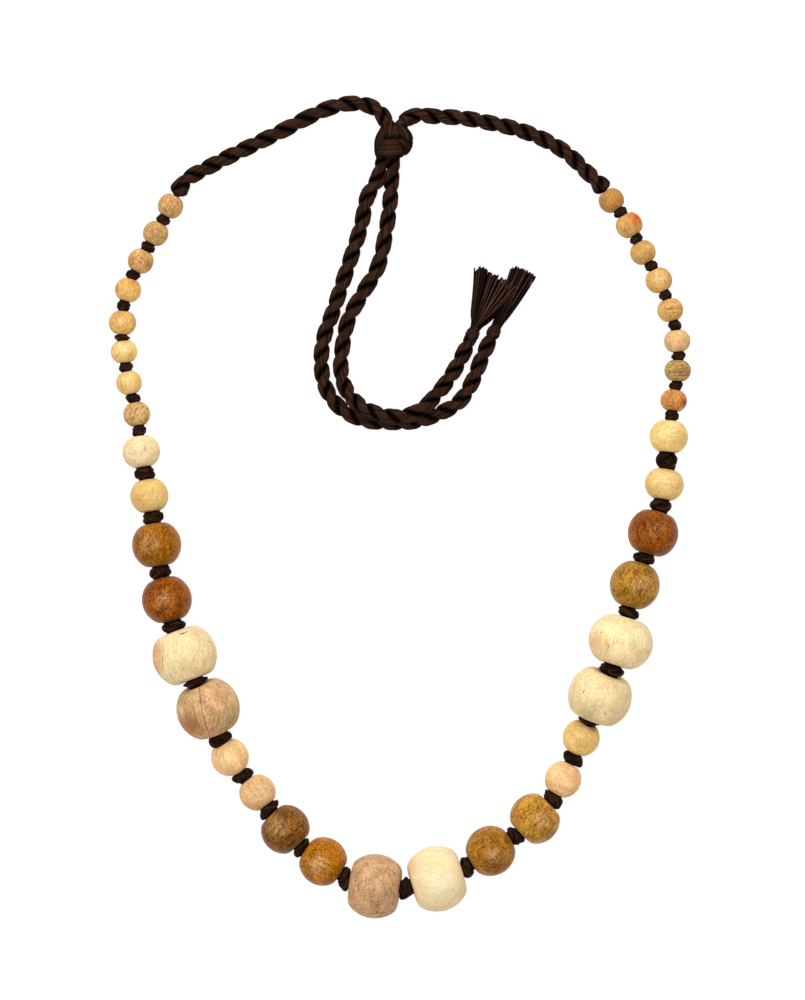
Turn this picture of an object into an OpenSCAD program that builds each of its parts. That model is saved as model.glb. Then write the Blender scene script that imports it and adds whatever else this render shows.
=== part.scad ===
// Wooden bead necklace with a twisted drawstring cord, lying flat.
// Millimetres, +Z up, +Y towards the slide knot. The origin is on the surface it lies on,
// under the middle of the loop.

/* [Beads] */
// Diameter of the hole through a small bead
small_hole = 2.6; // [2.4:0.1:3.2]
// Diameter of the hole through a middle-sized bead
middle_hole = 3.2; // [2.6:0.1:4.2]
// Diameter of the hole through a big bead
big_hole = 4.0; // [3:0.1:5.4]
// Bevel at the mouth of each hole
hole_bevel = 0.3; // [0.1:0.05:0.4]
// Rounding of the shoulder between a bead's side and its flat end
shoulder = 0.7; // [0.3:0.1:0.9]
// Depth of the turned dimple round the holes of the biggest beads
dimple_depth = 0.6; // [0.2:0.1:1]
// Width of that dimple
dimple_width = 8.4; // [6:0.2:9]

/* [Thread] */
// Thickness of the stringing thread
thread_d = 2; // [1:0.1:2.2]
// Gap between a knot and the bead beside it
knot_gap = 0.15; // [0.1:0.05:0.3]

/* [Cords] */
// Thickness of the twisted cords
cord_d = 5; // [4:0.1:5]
// Sides of a cord's tube
cord_sides = 10; // [8:1:12]

/* [Tassels] */
// Length of the loose ends of a tassel
tassel_length = 17.5; // [14:0.5:19]
// Locks side by side in a tassel
tassel_locks = 6; // [4:1:8]
// Thickness of the whipping round a tassel's neck
whipping_d = 5.4; // [5:0.1:5.8]
// Length of the whipping
whipping_length = 3.6; // [2:0.2:4]

/* [Hidden] */
$fn = 96;

// Columns of the bead table
DIA = 0;
LEN = 1;
KNOT = 2;
STEP = 3;
HEAD = 4;
WOOD = 5;

// One row for each bead, from the end of the left cord down, round and up to the right cord:
// diameter, length along its hole, width of the knot after it, distance to the next bead's
// centre, direction to it in degrees from +X, and the wood
BEADS = [
    [ 8.0,  7.0, 4.2,  9.7, 241.5, "sand"],
    [ 8.0,  7.0, 4.4,  9.8, 241.5, "sand"],
    [ 8.1,  7.1, 4.2,  9.8, 246.5, "sand"],
    [ 8.2,  7.2, 4.0, 10.4, 260.5, "honey"],
    [ 8.6,  7.4, 4.4,  9.0, 273.0, "honey"],
    [ 8.3,  6.8, 4.2,  9.8, 279.0, "straw"],
    [ 8.1,  7.2, 4.2, 10.1, 284.0, "straw"],
    [ 8.4,  7.4, 4.2, 11.8, 277.5, "tan"],
    [11.8,  9.8, 6.2, 13.9, 280.5, "cream"],
    [11.9, 10.2, 6.4, 15.4, 279.0, "straw"],
    [15.4, 13.4, 6.6, 17.3, 280.5, "golden"],
    [15.6, 13.8, 7.2, 18.1, 288.5, "russet"],
    [20.1, 15.8, 7.4, 18.0, 293.5, "cream"],
    [19.8, 16.4, 7.2, 16.7, 293.0, "rose"],
    [11.8, 11.0, 6.2, 13.9, 308.0, "straw"],
    [11.4, 10.0, 6.8, 14.2, 308.0, "peach"],
    [15.4, 12.6, 6.6, 15.4, 319.5, "umber"],
    [15.2, 13.2, 6.0, 17.7, 335.5, "golden"],
    [20.0, 15.6, 6.2, 19.3,   7.0, "rose"],
    [20.4, 16.2, 6.0, 18.6,  26.5, "cream"],
    [15.6, 14.4, 6.0, 17.0,  36.0, "olive"],
    [15.8, 12.8, 6.4, 14.9, 53.5, "olive"],
    [11.4, 10.8, 6.2, 14.1, 66.5, "peach"],
    [11.6, 10.4, 6.4, 14.3, 67.5, "honey"],
    [19.9, 15.2, 7.6, 18.1, 69.0, "cream"],
    [20.2, 15.4, 6.2, 18.0, 75.5, "cream"],
    [15.6, 14.6, 6.4, 17.1, 70.5, "olive"],
    [15.8, 13.6, 6.4, 15.5, 76.5, "russet"],
    [12.2,  9.6, 6.4, 14.9, 84.5, "cream"],
    [12.0, 10.0, 4.2, 11.4, 81.5, "straw"],
    [ 8.3,  6.6, 4.0,  9.4, 82.5, "amber"],
    [ 8.3,  6.6, 4.2,  9.2, 91.0, "tan"],
    [ 8.3,  6.8, 3.8,  9.9, 102.5, "peach"],
    [ 8.2,  6.9, 3.8,  9.9, 111.0, "straw"],
    [ 8.4,  7.3, 3.8, 10.0, 119.5, "straw"],
    [ 8.0,  6.9, 4.0,  9.5, 117.0, "sand"],
    [ 8.4,  7.0, 4.2,  9.5, 125.5, "peach"],
    [ 8.0,  6.8, 0.0,  0.0, 125.5, "sand"],
];

// Colour of each wood
WOODS = [
    ["cream", [0.93, 0.84, 0.67]],
    ["straw", [0.93, 0.81, 0.58]],
    ["honey", [0.91, 0.73, 0.44]],
    ["peach", [0.92, 0.76, 0.58]],
    ["sand", [0.84, 0.67, 0.46]],
    ["tan", [0.76, 0.58, 0.36]],
    ["amber", [0.86, 0.56, 0.28]],
    ["rose", [0.82, 0.64, 0.50]],
    ["golden", [0.66, 0.41, 0.15]],
    ["russet", [0.58, 0.32, 0.14]],
    ["olive", [0.67, 0.48, 0.21]],
    ["umber", [0.50, 0.34, 0.18]],
];
yarn_colour = [0.20, 0.12, 0.08];

bead_count = len(BEADS);
last_bead = bead_count - 1;
left_count = bead_count / 2;

// Centre of the first bead, seen from above
first_bead = [-71.4, 93.2];
// Bead diameters above which a bead counts as middle-sized, big and biggest
middle_from = 10;
big_from = 14;
biggest_from = 18;
// Gap between the two threads inside the hole where they meet
thread_join_gap = 0.1;
// Gap between an end bead and the cord that starts at it
cord_start_gap = 0.2;
// Straight stretch of a cord next to an end bead
cord_straight = 3;

function unit(v) = v / norm(v);
function lerp(a, b, t) = a + (b - a) * t;
function column(i, name) = BEADS[i][name];

// Centres of the beads as they lie, each resting on the surface
function string_walk() = [
    for (
        i = 0, p = first_bead;
        i < bead_count;
        p = p + column(i, STEP) * [cos(column(i, HEAD)), sin(column(i, HEAD))], i = i + 1
    ) [p.x, p.y, column(i, DIA) / 2]
];
CENTRES = string_walk();

// Direction of each bead's hole, from the bead before it to the bead after it
AXES = [
    for (i = [0:last_bead])
        unit(CENTRES[min(i + 1, last_bead)] - CENTRES[max(i - 1, 0)])
];

// Middle of a bead's flat end: side 1 faces the next bead, side -1 the one before
function face_centre(i, side) = CENTRES[i] + side * AXES[i] * column(i, LEN) / 2;

function hole_d(d) = d < middle_from ? small_hole : d < big_from ? middle_hole : big_hole;

function bead_name(i) =
    let (
        left = i < left_count,
        number = left ? i + 1 : bead_count - i
    ) str("bead_", left ? "left_" : "right_", number < 10 ? "0" : "", number);

// Points where the two neck cords start, at the outer end of the first and last bead
left_cord_start = face_centre(0, -1) - AXES[0] * cord_start_gap;
right_cord_start = face_centre(last_bead, 1) + AXES[last_bead] * cord_start_gap;

// Routes of the cords' middle lines, chosen by eye along the way the cords lie
NECK_LEFT_ROUTE = [
    left_cord_start,
    left_cord_start - AXES[0] * cord_straight,
    [-65.5, 102.2, 2.7],
    [-60, 105.3, 2.5],
    [-52.4, 109.2, 2.5],
    [-44.3, 113.1, 2.5],
    [-35.9, 117.2, 2.5],
    [-27.8, 121.4, 2.5],
    [-22, 123.9, 2.5],
    [-16, 125.3, 2.5],
    [-10.2, 124.8, 2.6],
    [-6, 122.4, 3],
    [-4, 118.8, 3.4],
];
NECK_RIGHT_ROUTE = [
    right_cord_start,
    right_cord_start + AXES[last_bead] * cord_straight,
    [58.5, 103.8, 2.6],
    [52.5, 109.5, 2.5],
    [45.5, 113.8, 2.5],
    [37.5, 117, 2.5],
    [28.5, 119.2, 2.5],
    [19.5, 120.8, 2.5],
    [11, 121.3, 2.6],
    [5, 121.4, 4],
    [0.8, 119.4, 5.4],
];
TAIL_LEFT_ROUTE = [
    [-6, 106.8, 3],
    [-7.5, 102.5, 2.7],
    [-10, 96.5, 2.5],
    [-12, 87.5, 2.5],
    [-15, 78, 2.5],
    [-18, 69, 2.5],
    [-21, 60, 2.5],
    [-23.5, 53, 2.5],
    [-24.5, 44.5, 2.5],
    [-23.2, 36.9, 2.5],
    [-18.2, 30.1, 2.5],
    [-11, 26.6, 2.5],
    [-3, 25.9, 2.5],
    [3.8, 26.1, 2.5],
    [11.2, 28.2, 2.5],
    [18.5, 32.3, 2.5],
    [22.8, 39, 2.5],
    [25.5, 45.8, 2.5],
    [28.8, 53, 2.8],
];
TAIL_RIGHT_ROUTE = [
    [-1.8, 106.2, 6],
    [-2.2, 101.5, 4.5],
    [-3, 95, 2.7],
    [-4.5, 84.5, 2.5],
    [-7, 74, 2.5],
    [-12, 65.5, 2.5],
    [-16, 58, 2.5],
    [-17.8, 50, 2.5],
    [-18.4, 43, 2.7],
    [-16.8, 36.3, 4.2],
    [-12, 30.8, 6.4],
    [-6, 28.2, 7.5],
    [0.2, 27.5, 7.6],
    [6, 29.4, 7.1],
    [11, 34, 4.6],
    [15.8, 40.2, 2.6],
    [19.2, 46.1, 2.5],
    [22.2, 52.4, 2.8],
];

// Middle of the slide knot's wrapped band, and the two ends of each of its upper lobes
knot_band = [-2, 111, 4.6];
KNOT_LOBES = [
    [[-5.4, 113.4, 4], [-4, 115.8, 3.6]],
    [[-2.6, 115, 5], [-0.8, 116.6, 5.2]],
    [[2.2, 113.4, 4.6], [1.4, 115, 4.6]],
];
knot_lobe_r = 2.6;

// Columns of the tassel table
FIRST_HEAD = 0;
LAST_HEAD = 1;
FIRST_RISE = 2;
LAST_RISE = 3;
UNDER = 4;

// Fan of each tassel: directions of its first and last lock, how they rise along their
// length, and whether the fan lies under the other one
LEFT_FAN = [86, 61, 0, -1, true];
RIGHT_FAN = [70, 54, 11, 2, false];

// Turns a shape's Z axis to the direction v
module along(v) {
    rotate([0, acos(v.z), atan2(v.y, v.x)]) children();
}

// A round rod from a to b
module rod(a, b, d) {
    translate(a) along(unit(b - a)) cylinder(h = norm(b - a), d = d);
}

// Half section of a bead: a circle cut flat at both ends, with bevelled shoulders, a hole
// whose mouths are bevelled, and on the biggest beads a dimple round each mouth
module bead_section(d, l) {
    half = l / 2;
    hole_r = hole_d(d) / 2;
    dimpled = d > biggest_from;
    mouth_r = dimpled ? dimple_width / 2 : hole_r + hole_bevel;
    mouth_depth = dimpled ? dimple_depth : hole_bevel;
    flat_r = sqrt(d * d - l * l) / 2;
    shoulder_r = flat_r - shoulder;
    shoulder_slope = flat_r / l;
    side_drop = (d / 2 - shoulder_r) * shoulder_slope;
    rim_r = max(shoulder_r, mouth_r + 0.1);
    intersection() {
        circle(d = d);
        polygon([
            [hole_r, mouth_depth - half],
            [mouth_r, -half],
            [rim_r, -half],
            [d / 2 + 1, side_drop - half],
            [d / 2 + 1, half - side_drop],
            [rim_r, half],
            [mouth_r, half],
            [hole_r, half - mouth_depth],
        ]);
    }
}

module bead(i) {
    wood = column(i, WOOD);
    color(WOODS[search([wood], WOODS)[0]][1])
        translate(CENTRES[i])
            along(AXES[i])
                rotate_extrude()
                    bead_section(column(i, DIA), column(i, LEN));
}

// Drum with bulging sides, the half section of a knot
module knot_section(width, length) {
    bulge = 0.6 * length;
    intersection() {
        translate([0, -length / 2]) square([width / 2, length]);
        union() {
            translate([0, -length / 2]) square([width / 2 - bulge + 0.5, length]);
            translate([width / 2 - bulge, 0]) circle(r = bulge);
        }
    }
}

// Room that a bead and its gap take, as a drum wider than the bead
module bead_room(i) {
    translate(CENTRES[i])
        along(AXES[i])
            cylinder(h = column(i, LEN) + 2 * knot_gap, d = column(i, DIA) + 4, center = true);
}

// The knot between bead i and the next one fills the wedge between their flat ends
module knot(i) {
    a = face_centre(i, 1);
    b = face_centre(i + 1, -1);
    width = column(i, KNOT);
    difference() {
        translate((a + b) / 2)
            along(unit(b - a))
                rotate_extrude()
                    knot_section(width, min(norm(b - a) + 2.4, width));
        bead_room(i);
        bead_room(i + 1);
    }
}

// Thread through bead i from its one end to its other, reaching into the knots beside it
module thread_in_bead(i, from_side, to_side) {
    reach = AXES[i] * (knot_gap + 0.4);
    rod(
        face_centre(i, from_side) + from_side * reach,
        face_centre(i, to_side) + to_side * reach,
        thread_d
    );
}

// The left thread ends in the middle of the first right bead's hole
module thread_left() {
    join = CENTRES[left_count] - AXES[left_count] * thread_join_gap / 2;
    color(yarn_colour) union() {
        rod(left_cord_start, face_centre(0, 1) + AXES[0] * (knot_gap + 0.4), thread_d);
        for (i = [1:left_count - 1]) thread_in_bead(i, -1, 1);
        for (i = [0:left_count - 1]) knot(i);
        rod(face_centre(left_count, -1) - AXES[left_count] * (knot_gap + 0.4), join, thread_d);
    }
}

module thread_right() {
    join = CENTRES[left_count] + AXES[left_count] * thread_join_gap / 2;
    color(yarn_colour) union() {
        rod(join, face_centre(left_count, 1) + AXES[left_count] * (knot_gap + 0.4), thread_d);
        for (i = [left_count + 1:last_bead - 1]) thread_in_bead(i, -1, 1);
        for (i = [left_count:last_bead - 1]) knot(i);
        rod(face_centre(last_bead, -1) - AXES[last_bead] * (knot_gap + 0.4), right_cord_start, thread_d);
    }
}

// Direction of a route at point k, square to the end faces at its ends
function route_direction(route, k) =
    unit(route[min(k + 1, len(route) - 1)] - route[max(k - 1, 0)]);

// Ring of points round point k of a route, with one point straight down
function route_ring(route, k) =
    let (
        t = route_direction(route, k),
        side = unit(cross([0, 0, 1], t)),
        up = cross(t, side)
    ) [
        for (s = [0:cord_sides - 1])
            let (angle = 360 * s / cord_sides - 90)
                route[k] + cord_d / 2 * (cos(angle) * side + sin(angle) * up)
    ];

// A tube that follows a route, one ring of points at each of its points
module cord(route) {
    rings = len(route);
    wall = [
        for (k = [0:rings - 2], s = [0:cord_sides - 1], half = [0, 1])
            let (
                a = k * cord_sides + s,
                b = k * cord_sides + (s + 1) % cord_sides
            ) half == 0 ? [a, a + cord_sides, b] : [b, a + cord_sides, b + cord_sides]
    ];
    first_cap = [for (s = [0:cord_sides - 1]) s];
    last_cap = [for (s = [cord_sides - 1:-1:0]) (rings - 1) * cord_sides + s];
    color(yarn_colour)
        polyhedron(
            points = [for (k = [0:rings - 1]) each route_ring(route, k)],
            faces = concat(wall, [first_cap, last_cap])
        );
}

module neck_cord_left() {
    cord(NECK_LEFT_ROUTE);
}

module neck_cord_right() {
    cord(NECK_RIGHT_ROUTE);
}

module tail_cord_left() {
    cord(TAIL_LEFT_ROUTE);
}

module tail_cord_right() {
    cord(TAIL_RIGHT_ROUTE);
}

// Short stub on the slide knot whose flat end meets the end face of a cord
module knot_stub(cord_end, cord_next) {
    inward = unit(cord_end - cord_next);
    hull() {
        rod(cord_end, cord_end + inward * 0.5, cord_d, $fn = 24);
        rod(cord_end + inward * 2.5, cord_end + inward * 3, cord_d, $fn = 24);
    }
}

// Band of the slide knot: an oval drum with rounded rims, its axis along Y
module knot_wrap() {
    band_width = 6.6;
    band_r = 4.5;
    rim = 1.2;
    hull() for (side = [-1, 1], end = [-1, 1])
        translate([side * 1.4, end * (band_width / 2 - rim), 0])
            rotate([90, 0, 0])
                rotate_extrude($fn = 32)
                    translate([band_r - rim, 0]) circle(r = rim, $fn = 16);
}

module slide_knot() {
    color(yarn_colour) union() {
        translate(knot_band) knot_wrap();
        for (lobe = KNOT_LOBES)
            hull() for (end = lobe) translate(end) sphere(r = knot_lobe_r, $fn = 24);
        for (route = [NECK_LEFT_ROUTE, NECK_RIGHT_ROUTE])
            knot_stub(route[len(route) - 1], route[len(route) - 2]);
        for (route = [TAIL_LEFT_ROUTE, TAIL_RIGHT_ROUTE])
            knot_stub(route[0], route[1]);
    }
}

// Direction at a heading on the surface, rising by some degrees
function rising(heading, rise) =
    [cos(heading) * cos(rise), sin(heading) * cos(rise), sin(rise)];

// Layers of locks at place t across a fan: two, but one where the two fans lie on each other
function lock_layers(fan, t) =
    fan[UNDER] ? (t > 0.5 ? [-1] : [-1, 1]) : (t < 0.5 ? [1] : [-1, 1]);

// A whipped neck and a fan of locks, fused at the neck
module tassel(route, fan) {
    neck_end = route[len(route) - 1];
    inward = unit(neck_end - route[len(route) - 2]);
    root = neck_end + inward * (whipping_length - 0.6);
    across = unit(cross([0, 0, 1], inward));
    color(yarn_colour) union() {
        rod(neck_end, neck_end + inward * whipping_length, whipping_d, $fn = 24);
        for (k = [0:tassel_locks - 1], layer = lock_layers(fan, k / (tassel_locks - 1))) {
            t = k / (tassel_locks - 1);
            heading = lerp(fan[FIRST_HEAD], fan[LAST_HEAD], t);
            rise = lerp(fan[FIRST_RISE], fan[LAST_RISE], t);
            trimmed = tassel_length * (1 - 0.05 * (k % 3)) * (layer < 0 ? 1 : 0.94);
            start = root + across * lerp(1.7, -1.7, t) + [0, 0, layer * 0.8];
            translate(start)
                along(rising(heading, rise))
                    cylinder(h = trimmed, r1 = 1.1, r2 = 1, $fn = 8);
        }
    }
}

module tassel_left() {
    tassel(TAIL_RIGHT_ROUTE, LEFT_FAN);
}

module tassel_right() {
    tassel(TAIL_LEFT_ROUTE, RIGHT_FAN);
}

for (i = [0:last_bead]) bead(i);
thread_left();
thread_right();
neck_cord_left();
neck_cord_right();
slide_knot();
tail_cord_left();
tail_cord_right();
tassel_left();
tassel_right();
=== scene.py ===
"""Looks of the wooden bead necklace: turned beads with their grain, the knotted stringing thread,
the twisted drawstring cords, the wrapped slide knot and the frayed tassels.

Lengths are millimetres, +Z up and +Y towards the slide knot. They become metres where a mesh or a
cord's path is made, and the lights are placed in metres.
"""

import math

import bpy
import numpy as np
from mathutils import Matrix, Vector


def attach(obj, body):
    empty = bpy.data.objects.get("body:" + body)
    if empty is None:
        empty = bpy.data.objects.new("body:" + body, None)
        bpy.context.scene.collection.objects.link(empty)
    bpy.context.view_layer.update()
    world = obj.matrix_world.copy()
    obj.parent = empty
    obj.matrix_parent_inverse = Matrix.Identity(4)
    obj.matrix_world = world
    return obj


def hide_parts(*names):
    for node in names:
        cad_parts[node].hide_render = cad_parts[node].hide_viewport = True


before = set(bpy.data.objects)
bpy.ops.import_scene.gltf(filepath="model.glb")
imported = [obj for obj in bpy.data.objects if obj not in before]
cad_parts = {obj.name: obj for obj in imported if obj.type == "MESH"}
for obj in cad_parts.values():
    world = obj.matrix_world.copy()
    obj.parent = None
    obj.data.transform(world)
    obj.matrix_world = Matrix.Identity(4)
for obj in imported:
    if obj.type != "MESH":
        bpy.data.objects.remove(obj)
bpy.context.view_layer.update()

MM = 0.001
UP = np.array([0.0, 0.0, 1.0])
TAU = 2 * math.pi

# Camera: straight down on the middle of the picture, which is VIEW_HEIGHT high at the beads' level
VIEW_MIDDLE = (0.84, 1.67)
VIEW_HEIGHT = 310.0
CAMERA_HEIGHT = 908.0
BEAD_LEVEL = 8.0
SENSOR = 36.0
CLIP_START = 50.0

# Light that falls on a level white surface, which the colours below are seen in
LIGHT_LEVEL = 1.18

# Points for each millimetre of a route before it is read again at even steps
FINE_POINTS = 20

# Arch of one yarn in a bundle: places across it and how high it stands there, and the half width of
# a bundle below which its yarns stand less proud
ARCH_PLACES = np.array([0.0, 0.22, 0.5, 0.78])
ARCH_HEIGHTS = np.array([0.0, 0.75, 1.0, 0.75])
THIN_BUNDLE = 0.5

# Twisted cords: how far their middle lines lie above the routes, and the steps inside the slide knot
CORD_STEP = 0.65
CORD_LIFT = 0.11
HIDDEN_STEPS = 5
# A ply: its yarns, how far its middle is from the cord's, its half widths outwards and round the cord,
# how proud its yarns stand, and how they turn against the plies
PLY_YARNS = 15
PLY_OFFSET = 1.25
PLY_RADIAL = 1.0
PLY_ROUND = 1.6
PLY_RIDGE = 0.24
PLY_UNTWIST = -1.75
# The core between the plies, painted dark as shade
CORE_RADIUS = 0.75
CORE_YARNS = 4
CORE_SHADE = 0.95
# Distances from a cord's middle line where the painted shade in the groove between its plies begins and is
# darkest
GROOVE_FROM = 2.5
GROOVE_TO = 1.6
# Where a cord swells at its bead, the length and radius of its rounded end there, how far its core is
# thicker, and the lengths over which a tail cord gets thinner towards its tassel and its knot
SWELLING_AT = 1.6
END_LENGTH = 1.5
END_RADIUS = 1.7
THICK_CORE_TO = 5.5
TASSEL_TAPER = 4.0
KNOT_TAPER = 6.0


def unit(vectors):
    """Each vector over its own length."""
    return vectors / np.linalg.norm(vectors, axis=-1, keepdims=True)


def ease(x):
    """0 below 0, 1 above 1, and 3x² - 2x³ between."""
    x = np.clip(x, 0, 1)
    return x * x * (3 - 2 * x)


def swelling(along, middle, width):
    """A smooth swelling along a line: 1 at its middle, and 1/e at its width from there."""
    return np.exp(-(((along - middle) / width) ** 2))


def together(*painted_shades):
    """Painted shade from several causes: 1 less the product of the light that each lets in."""
    light = 1.0
    for depth in painted_shades:
        light = light * (1 - depth)
    return 1 - light


def seen(red, green, blue):
    """The surface colour that looks like these 0 to 255 screen values in the scene's light."""
    screen = np.array([red, green, blue]) / 255
    linear = np.where(screen <= 0.04045, screen / 12.92, ((screen + 0.055) / 1.055) ** 2.4)
    return linear / LIGHT_LEVEL


def smooth_route(points, step):
    """A smooth line through the points: cubic pieces whose slopes are central differences over the
    chord lengths, read again at equal steps of its own length."""
    points = np.asarray(points, float)
    chord = distances(points)
    slopes = np.gradient(points, chord, axis=0)
    fine = np.linspace(0, chord[-1], int(chord[-1] * FINE_POINTS))
    k = np.clip(np.searchsorted(chord, fine, side="right") - 1, 0, len(chord) - 2)
    width = (chord[k + 1] - chord[k])[:, None]
    t = (fine - chord[k])[:, None] / width
    line = (
        (1 + 2 * t) * (1 - t) ** 2 * points[k]
        + t * (1 - t) ** 2 * width * slopes[k]
        + t**2 * (3 - 2 * t) * points[k + 1]
        + t**2 * (t - 1) * width * slopes[k + 1]
    )
    return even_steps(line, steps_of(line, step))


def distances(line):
    """Distance along a line from its start to each of its points."""
    return np.append(0, np.cumsum(np.linalg.norm(np.diff(line, axis=0), axis=1)))


def even_steps(line, count):
    """The same line with a given number of points at equal steps of its length."""
    along = distances(line)
    places = np.linspace(0, along[-1], count)
    return np.stack([np.interp(places, along, part) for part in line.T], -1)


def steps_of(line, step):
    """The number of points that gives a line equal steps near the given one."""
    return max(3, round(distances(line)[-1] / step) + 1)


def level_frames(line):
    """Side, upward and forward directions along a line: side is level, and upward is square to both."""
    forward = unit(np.gradient(line, axis=0))
    side = unit(np.cross(UP, forward))
    return side, np.cross(forward, side), forward


def loop_forward(line):
    """Forward directions along a closed line."""
    return unit(np.roll(line, -1, 0) - np.roll(line, 1, 0))


def square_to(forward, vectors):
    """The vectors less their forward parts, as unit vectors."""
    return unit(vectors - forward * (vectors * forward).sum(-1, keepdims=True))


def heading_vector(heading, rise):
    """Unit vector at a heading on the surface, in degrees, rising by some degrees."""
    heading, rise = math.radians(heading), math.radians(rise)
    return np.array([math.cos(heading) * math.cos(rise), math.sin(heading) * math.cos(rise), math.sin(rise)])


def bundle(line, across, above, half_across, half_above, yarns, twist, ridge):
    """Skin of a bundle of yarns along a line: an ellipse in the across and above directions whose angle
    is shifted by the twist at each place, with an arch for each yarn that stands proud along the
    ellipse's normal. The result is a grid, a row for each place and four points for each yarn."""
    place = ((np.arange(yarns)[:, None] + ARCH_PLACES) / yarns).ravel()
    proud = ridge * np.tile(ARCH_HEIGHTS, yarns)
    angle = TAU * place + np.broadcast_to(twist, len(line))[:, None]
    a = np.broadcast_to(half_across, len(line))[:, None]
    b = np.broadcast_to(half_above, len(line))[:, None]
    normal = unit(np.stack([np.cos(angle) * b, np.sin(angle) * a], -1))
    shrink = np.minimum(1, np.minimum(a, b) / THIN_BUNDLE)
    x = a * np.cos(angle) + normal[..., 0] * proud * shrink
    y = b * np.sin(angle) + normal[..., 1] * proud * shrink
    return line[:, None] + across[:, None] * x[..., None] + above[:, None] * y[..., None]


def yarn_numbers(yarns, first=0):
    """Texture values across a bundle: four steps for each yarn, from the first yarn's number on."""
    return np.arange(yarns * len(ARCH_PLACES) + 1) / len(ARCH_PLACES) + first


def grid_faces(rows, columns, steps):
    """The faces of a grid closed round its columns, over the given steps of its rows: the row and the
    column where each face starts, and its four corners' numbers."""
    i, j = np.meshgrid(np.arange(steps), np.arange(columns), indexing="ij")
    i_next, j_next = (i + 1) % rows, (j + 1) % columns
    corners = [i * columns + j, i * columns + j_next, i_next * columns + j_next, i_next * columns + j]
    return i, j, np.stack(corners, -1).reshape(-1, 4)


ATTRIBUTE_FIELDS = {"FLOAT": "value", "FLOAT_VECTOR": "vector", "FLOAT_COLOR": "color"}


def set_attribute(mesh, name, kind, values):
    """Puts one value for each corner point of the mesh into a named attribute."""
    attribute = mesh.attributes.new(name, kind, "POINT")
    attribute.data.foreach_set(ATTRIBUTE_FIELDS[kind], np.asarray(values, np.float32).ravel())


def new_object(name, data):
    """A new object in the scene."""
    thing = bpy.data.objects.new(name, data)
    bpy.context.scene.collection.objects.link(thing)
    return thing


def finished_piece(name, mesh, material, node):
    """Makes a mesh a piece that rides on the object's one body and stands for a solid."""
    mesh.shade_smooth()
    mesh.materials.append(material)
    piece = new_object(name, mesh)
    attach(piece, "root")
    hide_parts(node)
    return piece


class Skin:
    """Gathers grids of points into one mesh. A grid has a row for each step along it and a column for
    each step round it, counter-clockwise as seen from its far end, so that its faces look outwards."""

    def __init__(self, name):
        self.name = name
        self.points = []
        self.corners = []
        self.sizes = []
        self.uvs = []
        self.painted_shades = []
        self.count = 0

    def add(self, grid, across, along, depth=0.0, looped=False):
        """Adds a tube closed round its columns. across has the columns' texture values and the one
        after the last, along the rows'. depth is how dark each point is painted as shade, from 0 to 1:
        shade painted in grooves, under yarns and between parts. Its ends get a fan, or where it is
        looped meet each other."""
        rows, columns = grid.shape[:2]
        i, j, quads = grid_faces(rows, columns, rows if looped else rows - 1)
        u = np.stack([across[j], across[j + 1], across[j + 1], across[j]], -1)
        v = np.stack([along[i], along[i], along[i + 1], along[i + 1]], -1)
        depth = np.broadcast_to(depth, (rows, columns))
        self._keep(grid.reshape(-1, 3), quads, np.stack([u, v], -1), depth.ravel())
        if not looped:
            self._fan(grid[0], across, along[0], depth[0], flipped=True)
            self._fan(grid[-1], across, along[-1], depth[-1], flipped=False)

    def _fan(self, ring, across, along, depth, flipped):
        """Closes a ring with triangles round its middle."""
        n = len(ring)
        j = np.arange(n)
        first, second = (j + 1, j) if flipped else (j, j + 1)
        triangles = np.stack([np.full(n, n), first % n, second % n], -1)
        u = np.stack([(across[j] + across[j + 1]) / 2, across[first], across[second]], -1)
        uv = np.stack([u, np.full_like(u, along)], -1)
        self._keep(np.append(ring, [ring.mean(0)], 0), triangles, uv, np.append(depth, depth.mean()))

    def _keep(self, points, faces, uvs, painted_shades):
        """Puts points and their faces, texture values and painted shade after those gathered so far."""
        self.points.append(points)
        self.painted_shades.append(painted_shades)
        self.corners.append(faces.ravel() + self.count)
        self.sizes.append(np.full(len(faces), faces.shape[1]))
        self.uvs.append(uvs.ravel())
        self.count += len(points)

    def piece(self, material, node):
        """Makes the mesh and the piece of yarn that stands for a solid."""
        mesh = bpy.data.meshes.new(self.name)
        corners = np.concatenate(self.corners)
        sizes = np.concatenate(self.sizes)
        mesh.vertices.add(self.count)
        mesh.vertices.foreach_set("co", (np.concatenate(self.points) * MM).astype(np.float32).ravel())
        mesh.loops.add(len(corners))
        mesh.loops.foreach_set("vertex_index", corners.astype(np.int32))
        mesh.polygons.add(len(sizes))
        mesh.polygons.foreach_set("loop_start", (np.cumsum(sizes) - sizes).astype(np.int32))
        mesh.update(calc_edges=True)
        layer = mesh.uv_layers.new(name="yarn")
        layer.data.foreach_set("uv", np.concatenate(self.uvs).astype(np.float32))
        # The depth attribute is the shade painted on the yarns, which their material darkens by
        set_attribute(mesh, "depth", "FLOAT", np.concatenate(self.painted_shades))
        return finished_piece(self.name, mesh, material, node)


def node_points(name):
    """The corners of a solid's mesh, in millimetres."""
    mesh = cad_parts[name].data
    flat = np.zeros(len(mesh.vertices) * 3, np.float32)
    mesh.vertices.foreach_get("co", flat)
    return flat.reshape(-1, 3).astype(float) / MM


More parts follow.
